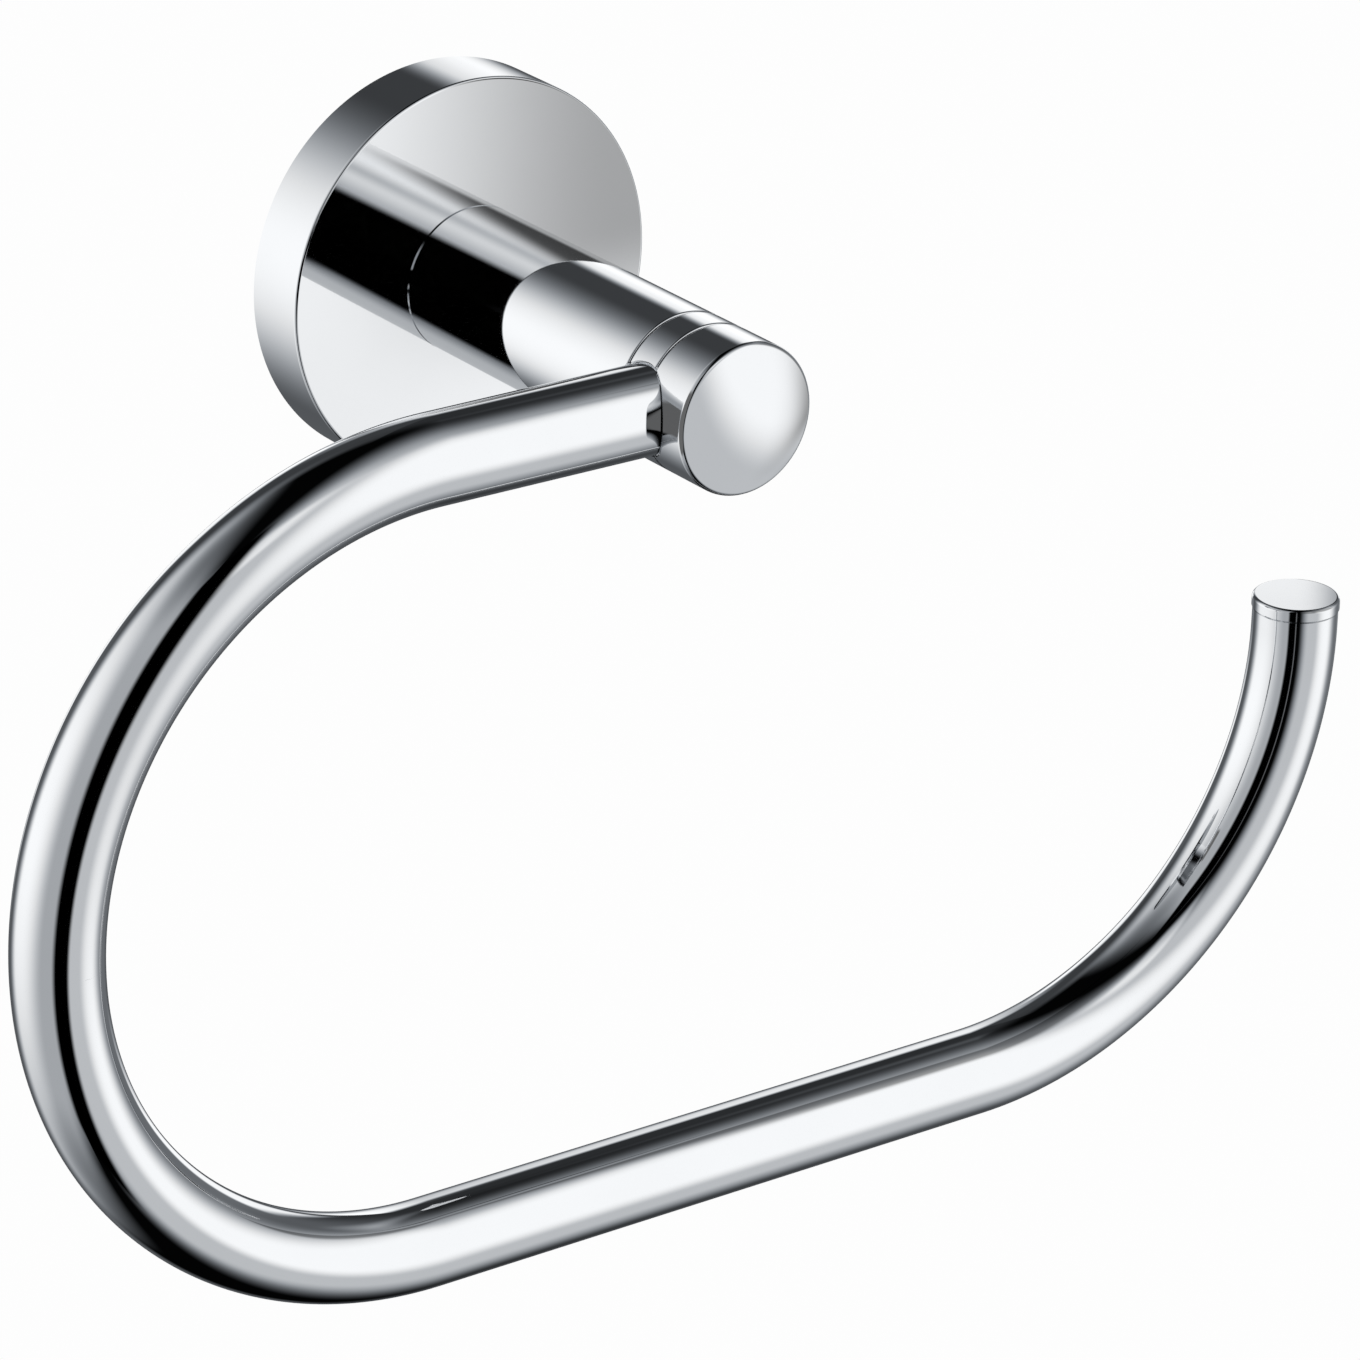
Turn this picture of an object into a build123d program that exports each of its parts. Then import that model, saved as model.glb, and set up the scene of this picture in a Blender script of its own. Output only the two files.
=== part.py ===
from build123d import *
import os

os.makedirs("parts", exist_ok=True)

# Towel holder with an open ring, in millimetres
# The wall is the plane Y = 0, the front looks towards -Y, Z is up and the post's axis lies on the Y axis

# Flange against the wall
flange_diameter = 56.0
flange_depth = 10.5
flange_rim = 3.0
flange_front = 2.5
flange_edge = 0.4
flange_back_break = 0.3
cavity_fillet = 1.0

# Wall bracket inside the flange
bracket_gap = 0.3
bracket_headroom = 1.5
bracket_land = 0.8
bracket_flare = 2.7
bracket_rim = 2.2
bracket_fillet = 0.8
slot_spacing = 25.0
slot_length = 8.0
slot_width = 5.0

# Post
post_diameter = 20.5
post_seat_break = 0.2
spigot_diameter = 10.0
spigot_short = 0.2
sleeve_wall = 2.75
spindle_past_bar = 1.0
spindle_break = 0.5

# Grooves, collar and end cap, placed from the bar's axis
groove_width = 0.25
groove_depth = 0.85
groove_round = 0.3
collar_behind = 3.5
collar_ahead = 1.75
cap_past_bar = 4.0
cap_dome = 1.5
cap_edge = 0.8

# Ring bar
bar_diameter = 12.0
bar_wall = 1.0
bar_standoff = 52.0
bend_radius = 55.0
top_run = 41.0
bottom_run = 90.0
end_run = 2.4
bar_break = 0.15

# Seat of the bar in the post, with a fine rebate round it
seat_flat = 0.5
rebate_width = 0.25
rebate_depth = 0.35

# Insert in the bar's post end
insert_length = 16.0
insert_spigot_diameter = 7.0
insert_spigot_reach = 4.8
insert_spigot_flat = 0.5
insert_break = 0.4

# Plug in the bar's free end
plug_head = 1.8
plug_lip = 0.15
plug_edge = 0.5
plug_pilot = 3.6
plug_pilot_taper = 0.75

# Screws: an M6 button head, an M5 and an M4 set screw
post_screw_diameter = 6.0
post_screw_length = 16.0
post_screw_head_diameter = 10.5
post_screw_head_height = 3.3
post_screw_head_land = 0.6
post_screw_socket = 4.0
post_screw_socket_depth = 2.0
post_screw_head_gap = 0.6
post_washer_diameter = 12.0
post_washer_bore = 6.4
post_washer_thickness = 1.6
tapped_hole_runout = 2.0
bar_set_screw_diameter = 5.0
bar_set_screw_socket = 2.5
flange_set_screw_diameter = 4.0
flange_set_screw_socket = 2.0
flange_set_screw_bite = 0.2
flange_set_screw_point = 0.4
flange_set_screw_recess = 0.4
set_screw_socket_depth = 1.8
screw_break = 0.4

# Clearances
slip_gap = 0.05
thread_gap = 0.05
end_gap = 0.1

# Radii and stations that follow from the sizes above
flange_radius = flange_diameter / 2
cavity_radius = flange_radius - flange_rim
cavity_depth = flange_depth - flange_front
bracket_radius = cavity_radius - bracket_gap
bracket_foot_radius = bracket_radius - bracket_flare
bracket_height = cavity_depth - bracket_headroom
bracket_flare_top = bracket_height - bracket_land
bracket_flare_foot = bracket_flare_top - bracket_flare
post_screw_seat = cavity_depth - post_washer_thickness
bracket_plate = post_screw_seat - post_screw_head_height - post_screw_head_gap

post_radius = post_diameter / 2
spigot_radius = spigot_diameter / 2
spindle_radius = post_radius - sleeve_wall
sleeve_bore = spindle_radius + slip_gap
shoulder_radius = post_radius - groove_depth

bar_radius = bar_diameter / 2
bar_bore = bar_radius - bar_wall
bar_axis = flange_depth + bar_standoff
seat_radius = bar_radius + slip_gap
seat_floor = spindle_radius - seat_flat
post_front = bar_axis - collar_behind - groove_width / 2
collar_back = post_front + groove_width
collar_front = bar_axis + collar_ahead - groove_width / 2
cap_back = collar_front + groove_width
spindle_front = bar_axis + bar_radius + spindle_past_bar
cap_front = bar_axis + bar_radius + cap_past_bar

bottom_run_height = -2 * bend_radius
bottom_run_end = bottom_run - top_run
free_end_side = bottom_run_end + bend_radius
free_end_height = end_run - bend_radius

insert_radius = bar_bore - slip_gap
insert_spigot_radius = insert_spigot_diameter / 2
insert_flat_station = bar_axis + insert_spigot_radius - insert_spigot_flat

post_screw_radius = post_screw_diameter / 2
post_screw_tip = post_screw_seat + post_screw_length
post_screw_top = post_screw_seat - post_screw_head_height
tapped_hole_radius = post_screw_radius + thread_gap
tapped_hole_end = post_screw_tip + tapped_hole_runout
bar_set_screw_radius = bar_set_screw_diameter / 2
bar_set_screw_length = spindle_front - insert_flat_station
flange_set_screw_radius = flange_set_screw_diameter / 2
flange_set_screw_station = bracket_flare_foot + flange_set_screw_bite
flange_set_screw_tip = bracket_foot_radius + flange_set_screw_bite + flange_set_screw_point
flange_set_screw_outer = flange_radius - flange_set_screw_recess

# Working planes: the bar lies in one upright plane, and cross bores are drawn looking along X
bar_plane = Plane(origin=(0, -bar_axis, 0), x_dir=(1, 0, 0), z_dir=(0, -1, 0))
seat_plane = Plane.YZ.offset(-seat_floor)

# Wall bracket: a dished plate with a flared rim and two slots for the wall screws
with BuildPart() as wall_bracket:
    with BuildSketch(Plane.XY):
        with BuildLine():
            Polyline(
                (0, 0),
                (bracket_foot_radius, 0),
                (bracket_foot_radius, -bracket_flare_foot),
                (bracket_radius, -bracket_flare_top),
                (bracket_radius, -bracket_height),
                (bracket_foot_radius - bracket_rim, -bracket_height),
                (bracket_foot_radius - bracket_rim, -bracket_plate),
                (0, -bracket_plate),
                close=True,
            )
        make_face()
    revolve(axis=Axis.Y)
    bracket_mouth = wall_bracket.edges().filter_by(GeomType.CIRCLE).group_by(Axis.Y)[0]
    fillet(bracket_mouth.sort_by(SortBy.RADIUS)[0], radius=bracket_fillet)
    with BuildSketch(Plane.XZ):
        with GridLocations(slot_spacing, slot_spacing, 2, 1):
            SlotOverall(slot_length, slot_width)
    extrude(amount=bracket_plate, mode=Mode.SUBTRACT)

# Flange cover: a hollow cup with a centring hole for the post and a tapped hole under its rim
with BuildPart() as flange_cover:
    with BuildSketch(Plane.XY):
        with BuildLine():
            Polyline(
                (spigot_radius + slip_gap, -flange_depth),
                (flange_radius, -flange_depth),
                (flange_radius, 0),
                (cavity_radius, 0),
                (cavity_radius, -cavity_depth),
                (spigot_radius + slip_gap, -cavity_depth),
                close=True,
            )
        make_face()
    revolve(axis=Axis.Y)
    flange_circles = flange_cover.edges().filter_by(GeomType.CIRCLE)
    fillet(flange_circles.group_by(Axis.Y)[0].sort_by(SortBy.RADIUS)[-1], radius=flange_edge)
    flange_circles = flange_cover.edges().filter_by(GeomType.CIRCLE)
    chamfer(flange_circles.group_by(Axis.Y)[-1].sort_by(SortBy.RADIUS)[-1], length=flange_back_break)
    cavity_corner = flange_cover.edges().filter_by(GeomType.CIRCLE).filter_by_position(
        Axis.Y, -cavity_depth - slip_gap, -cavity_depth + slip_gap
    )
    fillet(cavity_corner.sort_by(SortBy.RADIUS)[-1], radius=cavity_fillet)
    with BuildSketch(Plane.XY.offset(-flange_radius)):
        with Locations((0, -flange_set_screw_station)):
            Circle(flange_set_screw_radius + thread_gap)
    extrude(amount=2 * flange_rim, mode=Mode.SUBTRACT)

# Set screw under the flange: its point bears on the bracket's flare and draws the flange to the wall
with BuildPart() as flange_set_screw:
    with BuildSketch(Plane.XY.offset(-flange_set_screw_outer)):
        with Locations((0, -flange_set_screw_station)):
            Circle(flange_set_screw_radius)
    extrude(amount=flange_set_screw_outer - flange_set_screw_tip)
    chamfer(flange_set_screw.edges().group_by(Axis.Z)[-1], length=flange_set_screw_radius - flange_set_screw_point)
    chamfer(flange_set_screw.edges().group_by(Axis.Z)[0], length=screw_break)
    with BuildSketch(Plane.XY.offset(-flange_set_screw_outer)):
        with Locations((0, -flange_set_screw_station)):
            RegularPolygon(flange_set_screw_socket / 2, 6, major_radius=False)
    extrude(amount=set_screw_socket_depth, mode=Mode.SUBTRACT)

# Seat cutter: the bore for the bar's end and its spigot, with a shallow rebate where it meets the post's outside
with BuildPart() as rebate_cutter:
    with BuildSketch(Plane.YZ):
        with Locations((-bar_axis, 0)):
            Circle(bar_radius + rebate_width)
    extrude(amount=-post_diameter)
    with BuildSketch(Plane.XZ.offset(flange_depth)):
        Circle(post_radius - rebate_depth)
    extrude(amount=2 * bar_axis, mode=Mode.SUBTRACT)

with BuildPart() as seat_cutter:
    with BuildSketch(seat_plane):
        with Locations((-bar_axis, 0)):
            Circle(seat_radius)
    extrude(amount=-post_diameter)
    with BuildSketch(seat_plane):
        with Locations((-bar_axis, 0)):
            Circle(insert_spigot_radius + slip_gap)
    extrude(amount=seat_floor + insert_spigot_reach + end_gap)
    add(rebate_cutter.part)

# Post: spigot and tapped hole behind, spindle with cross bore and tapped hole in front
with BuildPart() as post_body:
    with BuildSketch(Plane.XY):
        with BuildLine():
            Polyline(
                (tapped_hole_radius, -cavity_depth - spigot_short),
                (spigot_radius, -cavity_depth - spigot_short),
                (spigot_radius, -flange_depth),
                (post_radius, -flange_depth),
                (post_radius, -post_front),
                (shoulder_radius, -post_front),
                (shoulder_radius, -collar_back),
                (spindle_radius, -collar_back),
                (spindle_radius, -spindle_front),
                (0, -spindle_front),
                (0, -tapped_hole_end - tapped_hole_radius / 2),
                (tapped_hole_radius, -tapped_hole_end),
                close=True,
            )
        make_face()
    revolve(axis=Axis.Y)
    post_circles = post_body.edges().filter_by(GeomType.CIRCLE)
    chamfer(post_circles.group_by(Axis.Y)[0].sort_by(SortBy.RADIUS)[-1], length=spindle_break)
    post_circles = post_body.edges().filter_by(GeomType.CIRCLE)
    post_ends = post_circles.filter_by(lambda edge: abs(edge.radius - post_radius) < slip_gap).sort_by(Axis.Y)
    chamfer(post_ends[-1], length=post_seat_break)
    post_circles = post_body.edges().filter_by(GeomType.CIRCLE)
    post_ends = post_circles.filter_by(lambda edge: abs(edge.radius - post_radius) < slip_gap).sort_by(Axis.Y)
    fillet(post_ends[0], radius=groove_round)
    add(seat_cutter.part, mode=Mode.SUBTRACT)
    with BuildSketch(Plane.XZ.offset(spindle_front)):
        Circle(bar_set_screw_radius + thread_gap)
    extrude(amount=bar_axis - spindle_front, mode=Mode.SUBTRACT)

# Screw and washer that pull the post onto the flange from inside its cavity
with BuildPart() as post_washer:
    with BuildSketch(Plane.XZ.offset(post_screw_seat)):
        Circle(post_washer_diameter / 2)
        Circle(post_washer_bore / 2, mode=Mode.SUBTRACT)
    extrude(amount=post_washer_thickness)
    chamfer(post_washer.edges().group_by(Axis.Y)[-1].sort_by(SortBy.RADIUS)[-1], length=post_seat_break)

with BuildPart() as post_screw:
    with BuildSketch(Plane.XY):
        with BuildLine():
            dome_foot = (post_screw_head_diameter / 2, post_screw_head_land - post_screw_seat)
            dome_top = (post_screw_socket, -post_screw_top)
            Polyline(
                dome_top,
                (0, -post_screw_top),
                (0, -post_screw_tip),
                (post_screw_radius - screw_break, -post_screw_tip),
                (post_screw_radius, screw_break - post_screw_tip),
                (post_screw_radius, -post_screw_seat),
                (post_screw_head_diameter / 2, -post_screw_seat),
                dome_foot,
            )
            TangentArc(dome_foot, dome_top, tangent=(0, 1))
        make_face()
    revolve(axis=Axis.Y)
    with BuildSketch(Plane.XZ.offset(post_screw_top)):
        RegularPolygon(post_screw_socket / 2, 6, major_radius=False)
    extrude(amount=post_screw_socket_depth, mode=Mode.SUBTRACT)

# Collar: a turned ring between the two grooves, opened by the bar's seat
with BuildPart() as hub_collar:
    with BuildSketch(Plane.XY):
        with BuildLine():
            Polyline(
                (sleeve_bore, -collar_back),
                (post_radius, -collar_back),
                (post_radius, -collar_front),
                (shoulder_radius, -collar_front),
                (shoulder_radius, -cap_back),
                (sleeve_bore, -cap_back),
                close=True,
            )
        make_face()
    revolve(axis=Axis.Y)
    collar_circles = hub_collar.edges().filter_by(GeomType.CIRCLE)
    fillet(collar_circles.filter_by(lambda edge: abs(edge.radius - post_radius) < slip_gap), radius=groove_round)
    add(seat_cutter.part, mode=Mode.SUBTRACT)

# End cap: a domed cap pressed over the spindle, notched by the bar's seat
with BuildPart() as end_cap:
    with BuildSketch(Plane.XY):
        with BuildLine():
            Polyline(
                (post_radius, -cap_front),
                (post_radius, -cap_back),
                (sleeve_bore, -cap_back),
                (sleeve_bore, -spindle_front - end_gap),
                (0, -spindle_front - end_gap),
                (0, -cap_front - cap_dome),
            )
            TangentArc((0, -cap_front - cap_dome), (post_radius, -cap_front), tangent=(1, 0))
        make_face()
    revolve(axis=Axis.Y)
    cap_circles = end_cap.edges().filter_by(GeomType.CIRCLE)
    cap_ends = cap_circles.filter_by(lambda edge: abs(edge.radius - post_radius) < slip_gap).sort_by(Axis.Y)
    fillet(cap_ends[0], radius=cap_edge)
    cap_circles = end_cap.edges().filter_by(GeomType.CIRCLE)
    cap_ends = cap_circles.filter_by(lambda edge: abs(edge.radius - post_radius) < slip_gap).sort_by(Axis.Y)
    fillet(cap_ends[-1], radius=groove_round)
    add(seat_cutter.part, mode=Mode.SUBTRACT)

# Ring bar: a tube bent through a half turn at the left and a quarter turn at the right
with BuildPart() as ring_bar:
    with BuildLine(bar_plane):
        Line((-seat_floor, 0), (-top_run, 0))
        CenterArc((-top_run, -bend_radius), bend_radius, 90, 180)
        Line((-top_run, bottom_run_height), (bottom_run_end, bottom_run_height))
        CenterArc((bottom_run_end, -bend_radius), bend_radius, 270, 90)
        Line((free_end_side, -bend_radius), (free_end_side, free_end_height))
    with BuildSketch(seat_plane):
        with Locations((-bar_axis, 0)):
            Circle(bar_radius)
            Circle(bar_bore, mode=Mode.SUBTRACT)
    sweep()
    free_rim = ring_bar.edges().filter_by_position(Axis.Z, free_end_height - slip_gap, free_end_height + slip_gap)
    chamfer(free_rim.filter_by(GeomType.CIRCLE).sort_by(SortBy.RADIUS)[-1], length=bar_break)

# Insert fixed in the bar's post end, with a spigot that enters the spindle's cross bore
with BuildPart() as bar_insert:
    with BuildSketch(seat_plane):
        with Locations((-bar_axis, 0)):
            Circle(insert_radius)
    extrude(amount=-insert_length)
    chamfer(bar_insert.edges().group_by(Axis.X)[0], length=insert_break)
    with BuildSketch(seat_plane):
        with Locations((-bar_axis, 0)):
            Circle(insert_spigot_radius)
    extrude(amount=seat_floor + insert_spigot_reach)
    chamfer(bar_insert.edges().group_by(Axis.X)[-1], length=insert_break)
    with BuildSketch(Plane.XZ.offset(insert_flat_station)):
        Circle(bar_set_screw_radius + thread_gap)
    extrude(amount=insert_spigot_radius, mode=Mode.SUBTRACT)

# Set screw in the spindle: it bears on the flat of the insert's spigot
with BuildPart() as bar_set_screw:
    with BuildSketch(Plane.XZ.offset(insert_flat_station)):
        Circle(bar_set_screw_radius)
    extrude(amount=bar_set_screw_length)
    chamfer(bar_set_screw.edges().filter_by(GeomType.CIRCLE), length=screw_break)
    with BuildSketch(Plane.XZ.offset(spindle_front)):
        RegularPolygon(bar_set_screw_socket / 2, 6, major_radius=False)
    extrude(amount=-set_screw_socket_depth, mode=Mode.SUBTRACT)

# Plug in the bar's free end: a rounded head a little wider than the tube and a tapered pilot in its bore
with BuildPart() as bar_end_plug:
    with BuildSketch(Plane.XY.offset(free_end_height)):
        with Locations((free_end_side, -bar_axis)):
            Circle(bar_radius + plug_lip)
    extrude(amount=plug_head)
    fillet(bar_end_plug.edges().group_by(Axis.Z)[-1], radius=plug_edge)
    chamfer(bar_end_plug.edges().group_by(Axis.Z)[0], length=bar_break)
    with BuildSketch(Plane.XY.offset(free_end_height)):
        with Locations((free_end_side, -bar_axis)):
            Circle(bar_bore - slip_gap)
    extrude(amount=-end_run)
    with BuildSketch(Plane.XY.offset(free_end_height - end_run)) as pilot_wide:
        with Locations((free_end_side, -bar_axis)):
            Circle(bar_bore - slip_gap)
    with BuildSketch(Plane.XY.offset(free_end_height - end_run - plug_pilot)) as pilot_narrow:
        with Locations((free_end_side, -bar_axis)):
            Circle(bar_bore - slip_gap - plug_pilot_taper)
    loft()

# Labels and STEP files, one for each piece
wall_bracket.part.label = "wall_bracket"
flange_cover.part.label = "flange_cover"
flange_set_screw.part.label = "flange_set_screw"
post_body.part.label = "post_body"
post_washer.part.label = "post_washer"
post_screw.part.label = "post_screw"
hub_collar.part.label = "hub_collar"
end_cap.part.label = "end_cap"
ring_bar.part.label = "ring_bar"
bar_insert.part.label = "bar_insert"
bar_set_screw.part.label = "bar_set_screw"
bar_end_plug.part.label = "bar_end_plug"

export_step(wall_bracket.part, "parts/wall_bracket.step")
export_step(flange_cover.part, "parts/flange_cover.step")
export_step(flange_set_screw.part, "parts/flange_set_screw.step")
export_step(post_body.part, "parts/post_body.step")
export_step(post_washer.part, "parts/post_washer.step")
export_step(post_screw.part, "parts/post_screw.step")
export_step(hub_collar.part, "parts/hub_collar.step")
export_step(end_cap.part, "parts/end_cap.step")
export_step(ring_bar.part, "parts/ring_bar.step")
export_step(bar_insert.part, "parts/bar_insert.step")
export_step(bar_set_screw.part, "parts/bar_set_screw.step")
export_step(bar_end_plug.part, "parts/bar_end_plug.step")
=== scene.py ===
"""Towel holder in polished chrome: flange, post and open ring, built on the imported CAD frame."""

import math

import bmesh
import bpy
import numpy as np
from bpy.props import FloatProperty, FloatVectorProperty, IntProperty, PointerProperty
from mathutils import Matrix, Vector


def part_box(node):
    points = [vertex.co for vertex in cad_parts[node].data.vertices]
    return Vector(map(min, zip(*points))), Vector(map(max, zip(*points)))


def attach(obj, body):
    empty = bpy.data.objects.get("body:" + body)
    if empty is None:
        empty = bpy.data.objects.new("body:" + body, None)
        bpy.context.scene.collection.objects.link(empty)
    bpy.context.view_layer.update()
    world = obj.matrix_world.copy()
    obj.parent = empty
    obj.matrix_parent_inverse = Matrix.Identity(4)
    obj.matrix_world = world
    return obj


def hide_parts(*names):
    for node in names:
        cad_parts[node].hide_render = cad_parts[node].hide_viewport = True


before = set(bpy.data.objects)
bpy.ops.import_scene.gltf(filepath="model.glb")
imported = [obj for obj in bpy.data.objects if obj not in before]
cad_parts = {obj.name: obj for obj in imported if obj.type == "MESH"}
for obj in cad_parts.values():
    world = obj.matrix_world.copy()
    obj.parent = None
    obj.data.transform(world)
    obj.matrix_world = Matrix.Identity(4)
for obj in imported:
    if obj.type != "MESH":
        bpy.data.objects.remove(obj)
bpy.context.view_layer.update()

bl_info = {
    "name": "Towel Holder",
    "version": (1, 0, 0),
    "blender": (4, 5, 0),
    "location": "View3D > Sidebar > Towel Holder",
    "description": "Chrome towel holder with an open ring, fitted to its CAD frame",
    "category": "Add Mesh",
}

MM = 0.001
# How far a piece may be off its CAD node's box, and a face off the surface whose normals it takes
FIT_LIMIT = 0.06 * MM
SURFACE_LIMIT = 0.004 * MM
FACING_LIMIT = 0.9
SAME_POINT = 1e-9
LEAST_REACH = 1e-12

ORIGIN = Vector((0, 0, 0))

# Axes of the turned pieces: the two cross directions, then the axis itself
POST_AXIS = (Vector((1, 0, 0)), Vector((0, 0, 1)), Vector((0, -1, 0)))
UPRIGHT_AXIS = (Vector((1, 0, 0)), Vector((0, 1, 0)), Vector((0, 0, 1)))
BAR_AXIS = (Vector((0, 1, 0)), Vector((0, 0, 1)), Vector((1, 0, 0)))

# Faces round the turned pieces, and round the cutters and the screws
SIDES = {
    "wall_bracket": 256, "flange_cover": 360, "post_body": 288, "hub_collar": 288, "end_cap": 288,
    "bar_end_plug": 160, "post_washer": 144, "bar_insert": 144,
}
HOLE_SIDES, SEAT_SIDES, FLOOR_SIDES, SCREW_SIDES = 96, 192, 360, 72

# Faces along the rounded parts
ROUND_STEPS, GROOVE_STEPS, EDGE_STEPS, HEAD_STEPS, SLOT_STEPS, DOME_STEPS = 10, 6, 14, 12, 32, 40

# Ends of the drill for the flange's tapped hole, in flange radii
RIM_HOLE_REACH = (-1.1, -0.85)
# Edges of a screw that turn more than this stay sharp
SHARP_TURN = math.radians(32)


# Settings

def length(label, about, millimetres):
    return FloatProperty(
        name=label, description=about, default=millimetres * MM, unit="LENGTH", subtype="DISTANCE",
        precision=5,
    )


def share(label, about, value):
    return FloatProperty(name=label, description=about, default=value, min=0.0, max=1.0, subtype="FACTOR")


def level(label, about, value):
    return FloatProperty(name=label, description=about, default=value, precision=3)


def turn(label, about, degrees):
    return FloatProperty(
        name=label, description=about, default=math.radians(degrees), unit="ROTATION", subtype="ANGLE"
    )


def colour(label, about, value):
    return FloatVectorProperty(
        name=label, description=about, default=value, size=3, min=0.0, max=1.0, subtype="COLOR"
    )


def steps(label, about, count):
    return IntProperty(name=label, description=about, default=count, min=3)


def levels(label, about, *values):
    return FloatVectorProperty(name=label, description=about, default=values, size=len(values), precision=3)


def span(label, about, *millimetres):
    places = [place * MM for place in millimetres]
    return FloatVectorProperty(
        name=label, description=about, default=places, size=len(places), unit="LENGTH", precision=4
    )


class FlangeSizes(bpy.types.PropertyGroup):
    """Flange cover and the wall bracket inside it"""

    radius: length("Radius", "Outer radius of the flange", 28.0)
    depth: length("Depth", "From the wall to the flange's face", 10.5)
    edge: length("Edge", "Rounding between the face and the rim", 0.4)
    back_break: length("Back edge", "Bevel of the rim's edge at the wall", 0.3)
    cavity: length("Cavity radius", "Inside radius of the hollow back", 25.0)
    cavity_depth: length("Cavity depth", "Depth of the hollow back", 8.0)
    cavity_corner: length("Cavity corner", "Rounding in the hollow's corner", 1.0)
    hole: length("Hole", "Radius of the centring hole", 5.05)
    screw_hole: length("Screw hole", "Radius of the tapped hole under the rim", 2.05)
    screw_station: length("Screw station", "From the wall to the tapped hole's axis", 3.2)
    bracket_foot: length("Bracket foot", "Radius of the bracket at the wall", 22.0)
    bracket_rim: length("Bracket rim", "Radius of the bracket's flared rim", 24.7)
    bracket_mouth: length("Bracket mouth", "Inside radius of the bracket", 19.8)
    bracket_plate: length("Bracket plate", "Thickness of the bracket's plate", 2.5)
    bracket_height: length("Bracket height", "Height of the bracket's rim", 6.5)
    bracket_flare: length("Flare foot", "Where the flare starts", 3.0)
    bracket_land: length("Flare top", "Where the flare ends", 5.7)
    bracket_round: length("Mouth rounding", "Rounding of the bracket's mouth", 0.8)
    slot_spacing: length("Slot spacing", "Between the centres of the two slots", 25.0)
    slot_length: length("Slot length", "Overall length of a slot", 8.0)
    slot_width: length("Slot width", "Width of a slot", 5.0)


class PostSizes(bpy.types.PropertyGroup):
    """Post, collar and end cap, in distances from the wall"""

    radius: length("Radius", "Radius of the post, the collar and the cap", 10.25)
    seat: length("Seat", "Where the post stands on the flange", 10.5)
    seat_break: length("Seat bevel", "Bevel of the post's foot", 0.2)
    spigot: length("Spigot", "Radius of the spigot in the flange", 5.0)
    spigot_end: length("Spigot end", "Back end of the spigot", 8.2)
    screw_hole: length("Screw hole", "Radius of the tapped hole", 3.05)
    screw_hole_end: length("Screw hole end", "Depth of the tapped hole", 24.4)
    front: length("Post front", "Front end of the plain post", 58.875)
    groove_round: length("Groove rounding", "Rounding of the edges at the grooves", 0.3)
    shoulder: length("Shoulder", "Radius at the bottom of the grooves", 9.4)
    spindle: length("Spindle", "Radius of the spindle inside the collar", 7.5)
    spindle_front: length("Spindle front", "Front end of the spindle", 69.5)
    spindle_break: length("Spindle bevel", "Bevel of the spindle's end", 0.5)
    lock_hole: length("Lock hole", "Radius of the tapped hole in the spindle", 2.55)
    sleeve: length("Sleeve bore", "Bore of the collar and the cap", 7.55)
    collar_back: length("Collar back", "Back end of the collar", 59.125)
    collar_front: length("Collar front", "Front end of the collar", 64.125)
    cap_back: length("Cap back", "Back end of the cap", 64.375)
    cap_front: length("Cap front", "Where the dome starts", 72.5)
    cap_inside: length("Cap inside", "Bottom of the cap's bore", 69.6)
    cap_edge: length("Cap edge", "Rounding round the dome", 0.8)


class BarSizes(bpy.types.PropertyGroup):
    """Ring bar, its seat in the post and its end plug"""

    radius: length("Radius", "Outer radius of the tube", 6.0)
    bore: length("Bore", "Inner radius of the tube", 5.0)
    axis: length("Axis", "From the wall to the bar's centre line", 62.5)
    start: length("Start", "Where the bar starts beside the post's axis", -7.0)
    left: length("Left side", "Centre line at the left of the ring", -96.0)
    right: length("Right side", "Centre line of the free end", 104.0)
    bottom: length("Bottom", "Centre line of the lower run", -110.0)
    end: length("Free end", "Where the tube ends under the plug", -52.6)
    bend: length("Bend radius", "Radius of the bends", 55.0)
    end_break: length("End bevel", "Bevel at the tube's end and the plug", 0.15)
    seat: length("Seat", "Radius of the bar's seat in the post", 6.05)
    rebate: length("Rebate", "Radius of the fine rebate round the seat", 6.25)
    rebate_floor: length("Rebate floor", "Radius of the post at the rebate's floor", 9.9)
    spigot_hole: length("Cross bore", "Radius of the bore for the insert's spigot", 3.55)
    spigot_hole_end: length("Cross bore end", "Where the bore ends", 4.9)
    plug_head: length("Plug head", "Height of the plug's head", 1.8)
    plug_lip: length("Plug lip", "How far the plug's head stands out over the tube", 0.15)
    plug_edge: length("Plug edge", "Rounding of the plug's head", 0.5)
    plug_pilot: length("Plug pilot", "Radius of the plug inside the tube", 4.95)
    plug_tip: length("Plug tip", "Radius at the pilot's tip", 4.2)
    plug_straight: length("Straight pilot", "Length of the straight part", 2.4)
    plug_taper: length("Pilot taper", "Length of the tapered part", 3.6)
    insert: length("Insert", "Radius of the insert", 4.95)
    insert_length: length("Insert length", "Length of the insert in the tube", 16.0)
    insert_spigot: length("Insert spigot", "Radius of the insert's spigot", 3.5)
    insert_tip: length("Spigot tip", "Where the insert's spigot ends", 4.8)
    insert_break: length("Insert bevel", "Bevel of the insert's ends", 0.4)
    sides: steps("Sides", "Faces round the tube", 112)
    bend_steps: steps("Bend steps", "Faces along a quarter turn", 72)


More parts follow.
